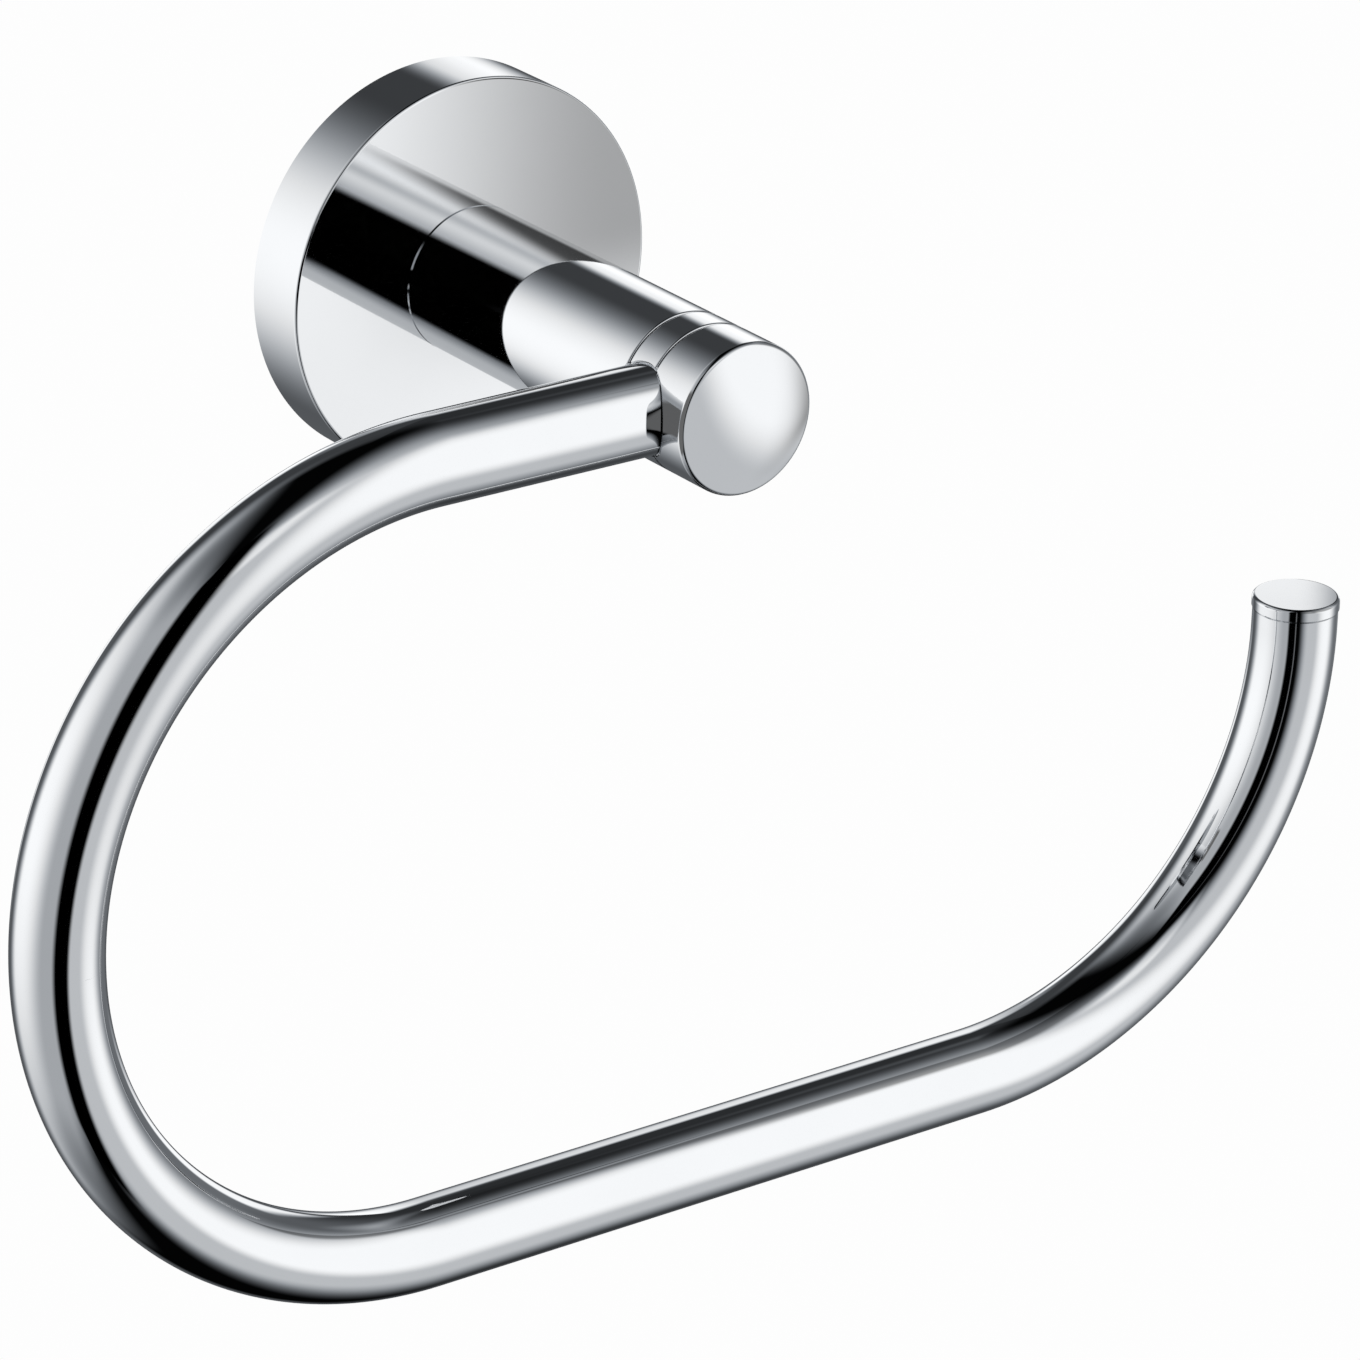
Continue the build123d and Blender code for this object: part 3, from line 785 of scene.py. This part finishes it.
def set_inputs(modifier, values):
    """Sets a modifier's inputs by their sockets' identifiers."""
    for item in modifier.node_group.interface.items_tree:
        if item.item_type == "SOCKET" and item.in_out == "INPUT" and item.name in values:
            modifier[item.identifier] = values[item.name]


def shank_lines(radius, low, high, pitch):
    """The straight side of a shank, divided finely enough to carry a thread."""
    count = max(2, round(abs(high - low) / pitch * THREAD_STEPS))
    heights = np.linspace(low, high, count + 1)
    return lines(*[(radius, float(height)) for height in heights])


# Operators, one for each piece or group of like pieces

WHITE = (1.0, 1.0, 1.0, 1.0)
FLOOR_COLOUR, FLOOR_ROUGHNESS = (0.9, 0.9, 0.9, 1.0), 0.8
SENSOR_WIDTH = 36.0
VIEW_START, VIEW_END = 0.01, 50.0


class TOWEL_OT_studio(bpy.types.Operator):
    """Sets the camera, the pale floor, the soft lights and the cards"""

    bl_idname = "towel.studio"
    bl_label = "Studio"

    def execute(self, context):
        studio = context.scene.towel_studio
        self.camera(context, studio)
        self.floor(studio)
        self.surroundings(context, studio)
        self.cards(studio)
        context.scene.view_settings.view_transform = "Standard"
        return {"FINISHED"}

    def camera(self, context, studio):
        turned_by, raised, rolled = studio.camera_azimuth, studio.camera_elevation, studio.camera_roll
        flat = math.cos(raised)
        back = Vector((math.sin(turned_by) * flat, -math.cos(turned_by) * flat, math.sin(raised)))
        right = Vector((math.cos(turned_by), math.sin(turned_by), 0))
        up = back.cross(right)
        level_right = math.cos(rolled) * right + math.sin(rolled) * up
        level_up = -math.sin(rolled) * right + math.cos(rolled) * up
        data = bpy.data.cameras.new("Camera")
        data.sensor_fit = "HORIZONTAL"
        data.sensor_width = SENSOR_WIDTH
        data.lens = studio.camera_lens
        data.clip_start, data.clip_end = VIEW_START, VIEW_END
        camera = new_piece("Camera", data)
        pose = Matrix((level_right, level_up, back)).transposed().to_4x4()
        camera.matrix_world = Matrix.Translation(studio.camera_place) @ pose
        context.scene.camera = camera

    def floor(self, studio):
        half, height = studio.floor_size, studio.floor_height
        mesh = bpy.data.meshes.new("Floor")
        corners = [(-half, -half, height), (half, -half, height), (half, half, height), (-half, half, height)]
        mesh.from_pydata(corners, [], [(0, 1, 2, 3)])
        material = bpy.data.materials.new("Pale floor")
        material.use_nodes = True
        tree = material.node_tree
        shader = tree.nodes["Principled BSDF"]
        shader.inputs["Base Color"].default_value = FLOOR_COLOUR
        shader.inputs["Roughness"].default_value = FLOOR_ROUGHNESS
        glow = add_node(tree, "ShaderNodeEmission", {"Color": WHITE, "Strength": studio.floor_tone})
        clear = add_node(tree, "ShaderNodeBsdfTransparent")
        seen = add_node(tree, "ShaderNodeLightPath").outputs["Is Camera Ray"]
        under = add_node(tree, "ShaderNodeNewGeometry").outputs["Backfacing"]
        plain = add_node(tree, "ShaderNodeMixShader", {0: seen, 1: shader.outputs[0], 2: glow.outputs[0]})
        sides = {0: under, 1: plain.outputs[0], 2: clear.outputs[0]}
        one_sided = add_node(tree, "ShaderNodeMixShader", sides)
        tree.links.new(one_sided.outputs[0], tree.nodes["Material Output"].inputs["Surface"])
        mesh.materials.append(material)
        floor = new_piece("Floor", mesh)
        floor.visible_glossy = False
        floor.visible_shadow = False

    def surroundings(self, context, studio):
        """Broad soft lights left and right of the camera, a small one over it, and a strip, two soft lights
        and a faint fill behind the holder.
        """
        world = bpy.data.worlds.new("Studio")
        world.use_nodes = True
        context.scene.world = world
        tree = world.node_tree
        tree.nodes.clear()
        across = Vector((math.cos(studio.camera_azimuth), math.sin(studio.camera_azimuth), 0))
        towards = Vector((math.sin(studio.camera_azimuth), -math.cos(studio.camera_azimuth), 0))
        raised = (across + Vector((0, 0, studio.right_lift))).normalized()
        view = add_node(tree, "ShaderNodeTexCoord").outputs["Generated"]

        def along(direction):
            product = add_node(tree, "ShaderNodeVectorMath", {0: view, 1: direction}, operation="DOT_PRODUCT")
            return product.outputs["Value"]

        def fade(value, ends, low=0.0, high=1.0):
            return soft_step(tree, value, *ends, low, high)

        def times(*values):
            result = values[0]
            for value in values[1:]:
                result = sums(tree, "MULTIPLY", result, value)
            return result

        def plus(*values):
            result = values[0]
            for value in values[1:]:
                result = sums(tree, "ADD", result, value)
            return result

        side, front, height = along(across), along(towards), along(Vector((0, 0, 1)))
        tall = sums(tree, "ABSOLUTE", height)
        poles = fade(tall, studio.poles)
        leftward = along(towards * math.cos(studio.left_turn) + across * math.sin(studio.left_turn))
        left_reach = sums(tree, "MULTIPLY_ADD", tall, studio.left_flare, front)
        left = times(
            plus(
                fade(side, studio.left_edge, studio.left_field, 0.0),
                fade(side, studio.left_middle, studio.left_core, 0.0),
            ),
            fade(left_reach, studio.left_back, studio.left_behind, 1.0),
            fade(height, studio.overhead, 1.0, studio.left_above),
            sums(tree, "SUBTRACT", 1.0, times(poles, fade(leftward, studio.left_ends, 1.0, 0.0))),
        )
        low_part = soft_band(tree, height, studio.right_low, studio.right_flare)
        right = times(
            plus(
                fade(side, studio.right_edge, 0.0, studio.right_field),
                fade(along(raised), studio.right_middle, 0.0, studio.right_core),
            ),
            fade(plus(front, low_part), studio.right_back, studio.right_behind, 1.0),
            fade(height, studio.overhead, 1.0, studio.right_above),
        )
        both = times(plus(left, right), fade(height, studio.underneath, studio.below, 1.0))
        behind = fade(front, studio.behind, 1.0, 0.0)
        before, aside = sums(tree, "SUBTRACT", 1.0, behind), sums(tree, "ABSOLUTE", side)
        top, strip, rear = (
            times(soft_band(tree, place, across, light), soft_band(tree, height, upright), where)
            for place, across, light, upright, where in (
                (side, studio.top_across, studio.top_light, studio.top_upright, before),
                (side, studio.strip_across, studio.strip, studio.strip_upright, behind),
                (aside, studio.rear_across, studio.rear_light, studio.rear_upright, behind),
            )
        )
        fill = times(
            fade(height, studio.fill_rise, studio.low_fill, studio.high_fill),
            fade(front, studio.fill_front, 1.0, 0.0),
            sums(tree, "SUBTRACT", 1.0, poles),
        )
        light = plus(both, top, strip, rear, fill, studio.ambient)
        tint = add_node(tree, "ShaderNodeValToRGB", {"Fac": light})
        colours = (studio.shade, studio.bright)
        for stop, place, shade in zip(tint.color_ramp.elements, studio.tint_stops, colours):
            stop.position = place
            stop.color = (*shade, 1.0)
        strength = sums(tree, "MULTIPLY", light, studio.power)
        lit = add_node(tree, "ShaderNodeBackground", {"Color": tint.outputs["Color"], "Strength": strength})
        plain = add_node(tree, "ShaderNodeBackground", {"Color": WHITE, "Strength": studio.floor_tone})
        seen = add_node(tree, "ShaderNodeLightPath").outputs["Is Camera Ray"]
        mixed = add_node(tree, "ShaderNodeMixShader", {0: seen, 1: lit.outputs[0], 2: plain.outputs[0]})
        out = add_node(tree, "ShaderNodeOutputWorld")
        tree.links.new(mixed.outputs[0], out.inputs["Surface"])

    def cards(self, studio):
        """The dark card between the side lights, three flags and the hub's grey card."""
        self.card("Dark card", studio.card_out, studio.card_across, studio.card_upright)
        self.card("Flange flag", studio.flag_out, studio.flag_across, studio.flag_upright, studio.flag_dark)
        self.card(
            "Post flag", studio.post_flag_out, studio.post_flag_across, studio.post_flag_upright,
            studio.post_flag_dark,
        )
        self.card("Bar flag", studio.bar_flag_out, studio.bar_flag_across, studio.bar_flag_upright)
        self.card(
            "Hub card", studio.hub_card_left, studio.hub_card_across, studio.hub_card_upright,
            tone=studio.hub_card_tone, sideways=True,
        )

    def card(self, name, away, across, upright, cover=1.0, tone=0.0, sideways=False):
        """An upright card with soft edges that shows in mirrors alone, and only on one face.

        It stands parallel to the wall, or sideways to it at the left of the post.
        """
        corners = [
            (-away, side, height) if sideways else (side, -away, height)
            for height in (upright[0], upright[3]) for side in (across[0], across[3])
        ]
        mesh = bpy.data.meshes.new(name)
        mesh.from_pydata(corners, [], [(0, 1, 3, 2) if sideways else (0, 2, 3, 1)])
        material = bpy.data.materials.new(name)
        material.use_nodes = True
        tree = material.node_tree
        tree.nodes.remove(tree.nodes["Principled BSDF"])
        place = add_node(tree, "ShaderNodeTexCoord").outputs["Object"]
        x, y, z = add_node(tree, "ShaderNodeSeparateXYZ", {0: place}).outputs
        back = add_node(tree, "ShaderNodeNewGeometry").outputs["Backfacing"]
        face = sums(tree, "MULTIPLY", soft_band(tree, z, upright, cover), sums(tree, "SUBTRACT", 1.0, back))
        face = sums(tree, "MULTIPLY", face, soft_band(tree, y if sideways else x, across))
        clear = add_node(tree, "ShaderNodeBsdfTransparent")
        grey = add_node(tree, "ShaderNodeEmission", {"Color": (tone, tone, tone, 1.0), "Strength": 1.0})
        faded = add_node(tree, "ShaderNodeMixShader", {0: face, 1: clear.outputs[0], 2: grey.outputs[0]})
        tree.links.new(faded.outputs[0], tree.nodes["Material Output"].inputs["Surface"])
        mesh.materials.append(material)
        card = new_piece(name, mesh)
        card.visible_camera = False
        card.visible_diffuse = False
        card.visible_shadow = False


class TOWEL_OT_wall_bracket(bpy.types.Operator):
    """Makes the dished wall bracket with its two slots"""

    bl_idname = "towel.wall_bracket"
    bl_label = "Wall bracket"

    def execute(self, context):
        size = context.scene.towel_flange
        foot, rim, mouth = size.bracket_foot, size.bracket_rim, size.bracket_mouth
        plate, height, rounding = size.bracket_plate, size.bracket_height, size.bracket_round
        outline = [
            *lines(
                (0, 0), (foot, 0), (foot, size.bracket_flare), (rim, size.bracket_land), (rim, height),
                (mouth + rounding, height),
            ),
            arc((mouth + rounding, height - rounding), rounding, 90, 180),
            *lines((mouth, height - rounding), (mouth, plate), (0, plate)),
        ]
        half, end = size.slot_length / 2 - size.slot_width / 2, size.slot_width / 2
        slots, bores = [], []
        for centre in (-size.slot_spacing / 2, size.slot_spacing / 2):
            angles = np.radians(np.linspace(-90, 90, SLOT_STEPS + 1))
            shape = [(half + end * math.cos(a), end * math.sin(a)) for a in angles]
            shape += [(-x, -z) for x, z in shape]
            middle = Vector((centre, 0, 0))
            slots.append(prism(POST_AXIS, middle, shape, -plate, 2 * plate))
            bores += [(POST_AXIS, middle + Vector((shift, 0, 0)), end) for shift in (-half, half)]
        turned_piece("wall_bracket", "bracket", outline, POST_AXIS, ORIGIN, slots, bores)
        return {"FINISHED"}


class TOWEL_OT_flange(bpy.types.Operator):
    """Makes the round flange cover with the tapped hole under its rim"""

    bl_idname = "towel.flange"
    bl_label = "Flange"

    def execute(self, context):
        size = context.scene.towel_flange
        radius, depth, edge, back = size.radius, size.depth, size.edge, size.back_break
        cavity, inside, corner, hole = size.cavity, size.cavity_depth, size.cavity_corner, size.hole
        outline = [
            line((hole, depth), (radius - edge, depth)),
            arc((radius - edge, depth - edge), edge, 90, 0, EDGE_STEPS),
            *lines(
                (radius, depth - edge), (radius, back), (radius - back, 0), (cavity, 0),
                (cavity, inside - corner),
            ),
            arc((cavity - corner, inside - corner), corner, 0, 90),
            *lines((cavity - corner, inside), (hole, inside), (hole, depth)),
        ]
        station = Vector((0, -size.screw_station, 0))
        low, high = (reach * radius for reach in RIM_HOLE_REACH)
        drill = rod(UPRIGHT_AXIS, station, size.screw_hole, low, high, HOLE_SIDES)
        bores = [(UPRIGHT_AXIS, station, size.screw_hole)]
        turned_piece("flange_cover", "chrome", outline, POST_AXIS, ORIGIN, [drill], bores)
        return {"FINISHED"}


class TOWEL_OT_post(bpy.types.Operator):
    """Makes the post, the collar and the domed cap, with the bar's seat cut across them"""

    bl_idname = "towel.post"
    bl_label = "Post"

    def execute(self, context):
        size, bar = context.scene.towel_post, context.scene.towel_bar
        seat = Vector((0, -bar.axis, 0))
        cutters = self.seat_cutters(size, bar, seat)
        floor = line((bar.rebate_floor, size.seat), (bar.rebate_floor, size.cap_front))
        bores = [(BAR_AXIS, seat, reach) for reach in (bar.seat, bar.rebate, bar.spigot_hole)]
        for node, outline in (
            ("post_body", self.post_outline(size, bar)),
            ("hub_collar", self.collar_outline(size)),
            ("end_cap", self.cap_outline(size)),
        ):
            turned_piece(node, "chrome", outline, POST_AXIS, ORIGIN, cutters, bores, [floor])
        for cutter in cutters:
            bpy.data.meshes.remove(cutter)
        return {"FINISHED"}

    def seat_cutters(self, size, bar, seat):
        """The bar's bore, the insert's cross bore and the shallow rebate where the bar meets the post."""
        far = -2 * size.radius
        bore = rod(BAR_AXIS, seat, bar.seat, far, bar.start, SEAT_SIDES)
        cross = rod(BAR_AXIS, seat, bar.spigot_hole, bar.start - MM, bar.spigot_hole_end, HOLE_SIDES)
        ring = rod(BAR_AXIS, seat, bar.rebate, far, 0.0, SEAT_SIDES)
        core = rod(POST_AXIS, ORIGIN, bar.rebate_floor, 0.5 * bar.axis, 1.5 * bar.axis, FLOOR_SIDES)
        return [bore, cross, cut(ring, core)]

    def post_outline(self, size, bar):
        radius, rounding, front = size.radius, size.groove_round, size.front
        hole, hole_end, spigot, seat = size.screw_hole, size.screw_hole_end, size.spigot, size.seat
        spindle, tip, bevel = size.spindle, size.spindle_front, size.spindle_break
        corner = radius - rounding
        return [
            *lines(
                (0, hole_end + hole / 2), (hole, hole_end), (hole, size.spigot_end),
                (spigot, size.spigot_end), (spigot, seat), (radius - size.seat_break, seat),
                (radius, seat + size.seat_break), (radius, front - rounding),
            ),
            arc((corner, front - rounding), rounding, 0, 90, GROOVE_STEPS),
            *lines(
                (corner, front), (size.shoulder, front), (size.shoulder, size.collar_back),
                (spindle, size.collar_back), (spindle, tip - bevel), (spindle - bevel, tip),
                (size.lock_hole, tip), (size.lock_hole, bar.axis), (0, bar.axis),
            ),
        ]

    def collar_outline(self, size):
        radius, rounding, back, front = size.radius, size.groove_round, size.collar_back, size.collar_front
        corner = radius - rounding
        return [
            line((size.sleeve, back), (corner, back)),
            arc((corner, back + rounding), rounding, -90, 0, GROOVE_STEPS),
            line((radius, back + rounding), (radius, front - rounding)),
            arc((corner, front - rounding), rounding, 0, 90, GROOVE_STEPS),
            *lines(
                (corner, front), (size.shoulder, front), (size.shoulder, size.cap_back),
                (size.sleeve, size.cap_back), (size.sleeve, back),
            ),
        ]

    def cap_outline(self, size):
        """The cap's dome is a shallow ball face whose top is where the CAD cap ends."""
        radius, rounding, edge, back = size.radius, size.groove_round, size.cap_edge, size.cap_back
        top = -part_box("end_cap")[0].y
        rise = top - size.cap_front
        ball = (radius ** 2 + rise ** 2) / (2 * rise)
        middle = top - ball
        edge_radius = radius - edge
        edge_height = middle + math.sqrt((ball - edge) ** 2 - edge_radius ** 2)
        lean = math.degrees(math.atan2(edge_height - middle, edge_radius))
        return [
            line((radius, edge_height), (radius, back + rounding)),
            arc((radius - rounding, back + rounding), rounding, 0, -90, GROOVE_STEPS),
            *lines(
                (radius - rounding, back), (size.sleeve, back), (size.sleeve, size.cap_inside),
                (0, size.cap_inside),
            ),
            arc((0, middle), ball, 90, lean, DOME_STEPS),
            arc((edge_radius, edge_height), edge, lean, 0),
        ]


class TOWEL_OT_ring_bar(bpy.types.Operator):
    """Sweeps the bent tube along its route and closes its free end with the plug"""

    bl_idname = "towel.ring_bar"
    bl_label = "Ring bar"

    def execute(self, context):
        size = context.scene.towel_bar
        dress(self.tube(size), "ring_bar", "chrome")
        origin = Vector((size.right, -size.axis, 0))
        turned_piece("bar_end_plug", "chrome", self.plug_outline(size), UPRIGHT_AXIS, origin)
        return {"FINISHED"}

    def tube(self, size):
        route = bpy.data.curves.new("ring_route", "CURVE")
        route.dimensions = "3D"
        corners = [
            (size.start, 0.0), (size.left, 0.0), (size.left, size.bottom), (size.right, size.bottom),
            (size.right, size.end),
        ]
        course = route.splines.new("POLY")
        course.points.add(len(corners) - 1)
        for point, (x, z) in zip(course.points, corners):
            point.co = (x, -size.axis, z, 1.0)
        piece = new_piece("ring_bar", route)
        sweep = piece.modifiers.new("sweep", "NODES")
        sweep.node_group = ring_tree()
        set_inputs(
            sweep,
            {
                "Bend radius": size.bend, "Bend steps": size.bend_steps, "Radius": size.radius,
                "Bore": size.bore, "Sides": size.sides, "Material": finish("chrome"),
            },
        )
        mesh = freeze(piece, "ring_bar")
        bpy.data.curves.remove(route)
        self.close_ends(mesh, size)
        self.tube_normals(mesh, size)
        return mesh

    def close_ends(self, mesh, size):
        """Bevels the free rim and joins the outer wall to the bore at both ends."""
        work = bmesh.new()
        work.from_mesh(mesh)
        rims = [edge for edge in work.edges if edge.is_boundary]
        if len(rims) != 4 * size.sides:
            raise RuntimeError("the swept tube should have four open rims")
        axis = Vector((size.right, -size.axis, size.end))
        free = [edge for edge in rims if edge.verts[0].co.x > 0]
        outer = [edge for edge in free if (edge.verts[0].co - axis).length > (size.radius + size.bore) / 2]
        grown = bmesh.ops.extrude_edge_only(work, edges=outer)["geom"]
        bevelled = [item for item in grown if isinstance(item, bmesh.types.BMVert)]
        for vertex in {vertex for edge in outer for vertex in edge.verts}:
            vertex.co.z -= size.end_break
        for vertex in bevelled:
            vertex.co = axis + (vertex.co - axis) * (size.radius - size.end_break) / size.radius
        rims = [edge for edge in work.edges if edge.is_boundary]
        for at_free_end in (False, True):
            pair = [edge for edge in rims if (edge.verts[0].co.x > 0) == at_free_end]
            bmesh.ops.bridge_loops(work, edges=pair)
        bmesh.ops.recalc_face_normals(work, faces=work.faces)
        if any(edge.is_boundary for edge in work.edges):
            raise RuntimeError("the tube isn't closed")
        work.to_mesh(mesh)
        work.free()

    def tube_normals(self, mesh, size):
        """Exact normals: straight away from the nearest point of the tube's centre line."""
        places = np.array([vertex.co for vertex in mesh.vertices])
        x, z = places[:, 0], places[:, 2]
        bend = size.bend
        left_turn, right_turn = size.left + bend, size.right - bend
        middle = size.bottom + bend
        centre = np.stack([x, np.full(len(x), -size.axis), np.where(z > middle, 0.0, size.bottom)], 1)
        for turning, beyond in ((left_turn, x < left_turn), (right_turn, (x > right_turn) & (z < middle))):
            reach = np.hypot(x - turning, z - middle)
            centre[beyond, 0] = turning + bend * ((x - turning) / reach)[beyond]
            centre[beyond, 2] = middle + bend * ((z - middle) / reach)[beyond]
        upright = (x > right_turn) & (z >= middle)
        centre[upright, 0] = size.right
        centre[upright, 2] = z[upright]
        offset = places - centre
        reach = np.linalg.norm(offset, axis=1)
        away = offset / np.maximum(reach, LEAST_REACH)[:, None]
        set_normals(mesh, [(np.abs(reach - size.radius), away), (np.abs(reach - size.bore), away)])

    def plug_outline(self, size):
        radius, edge, bevel = size.radius + size.plug_lip, size.plug_edge, size.end_break
        pilot, foot = size.plug_pilot, size.end
        top = foot + size.plug_head
        straight = foot - size.plug_straight
        return [
            line((0, top), (radius - edge, top)),
            arc((radius - edge, top - edge), edge, 90, 0, EDGE_STEPS),
            *lines(
                (radius, top - edge), (radius, foot + bevel), (radius - bevel, foot), (pilot, foot),
                (pilot, straight), (size.plug_tip, straight - size.plug_taper),
                (0, straight - size.plug_taper),
            ),
        ]


class TOWEL_OT_screws(bpy.types.Operator):
    """Makes the post screw with its washer and the two set screws"""

    bl_idname = "towel.screws"
    bl_label = "Screws"

    def execute(self, context):
        size = context.scene.towel_fixing
        self.post_screw(size)
        self.washer(size)
        self.lock_screw(size, context.scene.towel_post.spindle_front)
        self.rim_screw(size, Vector((0, -context.scene.towel_flange.screw_station, 0)))
        return {"FINISHED"}

    def screw(self, node, outline, thread, socket, axis, origin):
        """A screw turned on the Z axis, threaded by its node tree, given its socket and put in its place."""
        shank = new_piece(node, turned(node, outline, UPRIGHT_AXIS, ORIGIN, SCREW_SIDES))
        cutter = shank.modifiers.new("thread", "NODES")
        cutter.node_group = thread_tree()
        set_inputs(cutter, {**thread, "Material": finish("screw")})
        flats, low, high = socket
        mesh = cut(freeze(shank, node), prism(UPRIGHT_AXIS, ORIGIN, hexagon(flats), low, high))
        place = Matrix(axis).transposed().to_4x4()
        mesh.transform(Matrix.Translation(origin) @ place)
        mesh.polygons.foreach_set("use_smooth", np.ones(len(mesh.polygons), bool))
        mesh.set_sharp_from_angle(angle=SHARP_TURN)
        dress(mesh, node, "screw")

    def thread(self, size, radius, pitch, start, end):
        depth = size.thread_share * pitch
        return {"Radius": radius, "Pitch": pitch, "Depth": depth, "Start": start, "End": end}

    def post_screw(self, size):
        """A button head towards the wall and a threaded shank into the post."""
        seat, reach, pitch = size.post_screw_seat, size.post_screw, size.post_screw_pitch
        bevel = size.end_break
        top, tip = seat - size.head_height, seat + size.post_screw_length
        foot = seat - size.head_land
        drop, inset = foot - top, size.head - size.head_top
        ball = (drop ** 2 + inset ** 2) / (2 * inset)
        lean = math.degrees(math.atan2(-drop, size.head_top - (size.head - ball)))
        outline = [
            line((0, top), (size.head_top, top)),
            arc((size.head - ball, foot), ball, lean, 0, HEAD_STEPS),
            *lines((size.head, foot), (size.head, seat), (reach, seat)),
            *shank_lines(reach, seat, tip - bevel, pitch),
            *lines((reach, tip - bevel), (reach - bevel, tip), (0, tip)),
        ]
        thread = self.thread(size, reach, pitch, seat + MM, tip)
        socket = (size.head_socket, top - MM, top + size.head_socket_depth)
        self.screw("post_screw", outline, thread, socket, POST_AXIS, ORIGIN)

    def washer(self, size):
        low, high, bevel = size.post_screw_seat, size.post_screw_seat + size.washer_height, size.washer_break
        hole, radius = size.washer_hole, size.washer
        outline = lines(
            (hole, low), (radius - bevel, low), (radius, low + bevel), (radius, high), (hole, high),
            (hole, low),
        )
        turned_piece("post_washer", "screw", outline, POST_AXIS, ORIGIN)

    def lock_screw(self, size, high):
        reach, low, pitch = size.lock_screw, size.lock_screw_back, size.lock_screw_pitch
        bevel = size.end_break
        outline = [
            *lines((0, low), (reach - bevel, low), (reach, low + bevel)),
            *shank_lines(reach, low + bevel, high - bevel, pitch),
            *lines((reach, high - bevel), (reach - bevel, high), (0, high)),
        ]
        thread = self.thread(size, reach, pitch, low, high)
        socket = (size.lock_screw_socket, high - size.socket_depth, high + MM)
        self.screw("bar_set_screw", outline, thread, socket, POST_AXIS, ORIGIN)

    def rim_screw(self, size, station):
        """A pointed set screw that stands upright under the flange's rim."""
        reach, low, high, bevel = size.rim_screw, -size.rim_screw_low, -size.rim_screw_tip, size.end_break
        shoulder = high - (reach - size.rim_screw_point)
        outline = [
            *lines((0, low), (reach - bevel, low), (reach, low + bevel)),
            *shank_lines(reach, low + bevel, shoulder, size.rim_screw_pitch),
            *lines((reach, shoulder), (size.rim_screw_point, high), (0, high)),
        ]
        thread = self.thread(size, reach, size.rim_screw_pitch, low, shoulder)
        socket = (size.rim_screw_socket, low - MM, low + size.socket_depth)
        self.screw("flange_set_screw", outline, thread, socket, UPRIGHT_AXIS, station)


class TOWEL_OT_insert(bpy.types.Operator):
    """Makes the turned insert in the bar's post end"""

    bl_idname = "towel.insert"
    bl_label = "Insert"

    def execute(self, context):
        size, hole = context.scene.towel_bar, context.scene.towel_post.lock_hole
        radius, spigot, bevel = size.insert, size.insert_spigot, size.insert_break
        back, seat, tip = size.start - size.insert_length, size.start, size.insert_tip
        outline = lines(
            (0, back), (radius - bevel, back), (radius, back + bevel), (radius, seat), (spigot, seat),
            (spigot, tip - bevel), (spigot - bevel, tip), (0, tip),
        )
        floor, far = context.scene.towel_fixing.lock_screw_back, size.axis + 2 * spigot
        pocket = rod(POST_AXIS, ORIGIN, hole, floor, far, HOLE_SIDES)
        origin = Vector((0, -size.axis, 0))
        bores = [(POST_AXIS, ORIGIN, hole)]
        turned_piece("bar_insert", "insert", outline, BAR_AXIS, origin, [pocket], bores)
        return {"FINISHED"}


# Panel and registration

SETTINGS = (
    ("towel_flange", FlangeSizes, "Flange and bracket"),
    ("towel_post", PostSizes, "Post"),
    ("towel_bar", BarSizes, "Ring bar"),
    ("towel_fixing", FixingSizes, "Screws"),
    ("towel_finish", FinishColours, "Finishes"),
    ("towel_studio", StudioLight, "Studio"),
)

STEPS = (
    TOWEL_OT_studio,
    TOWEL_OT_wall_bracket,
    TOWEL_OT_flange,
    TOWEL_OT_post,
    TOWEL_OT_ring_bar,
    TOWEL_OT_screws,
    TOWEL_OT_insert,
)


class TOWEL_PT_sidebar(bpy.types.Panel):
    """Lists the pieces to make and their settings"""

    bl_idname = "TOWEL_PT_sidebar"
    bl_label = "Towel Holder"
    bl_space_type = "VIEW_3D"
    bl_region_type = "UI"
    bl_category = "Towel Holder"

    def draw(self, context):
        for step in STEPS:
            self.layout.operator(step.bl_idname)
        for name, kind, title in SETTINGS:
            box = self.layout.box()
            box.label(text=title)
            for field in kind.__annotations__:
                box.prop(getattr(context.scene, name), field)


def register():
    for name, kind, _ in SETTINGS:
        bpy.utils.register_class(kind)
        setattr(bpy.types.Scene, name, PointerProperty(type=kind))
    for step in STEPS:
        bpy.utils.register_class(step)
    bpy.utils.register_class(TOWEL_PT_sidebar)


def unregister():
    bpy.utils.unregister_class(TOWEL_PT_sidebar)
    for step in reversed(STEPS):
        bpy.utils.unregister_class(step)
    for name, kind, _ in reversed(SETTINGS):
        delattr(bpy.types.Scene, name)
        bpy.utils.unregister_class(kind)


def main():
    register()
    bpy.ops.towel.studio()
    bpy.ops.towel.wall_bracket()
    bpy.ops.towel.flange()
    bpy.ops.towel.post()
    bpy.ops.towel.ring_bar()
    bpy.ops.towel.screws()
    bpy.ops.towel.insert()


if __name__ == "__main__":
    main()
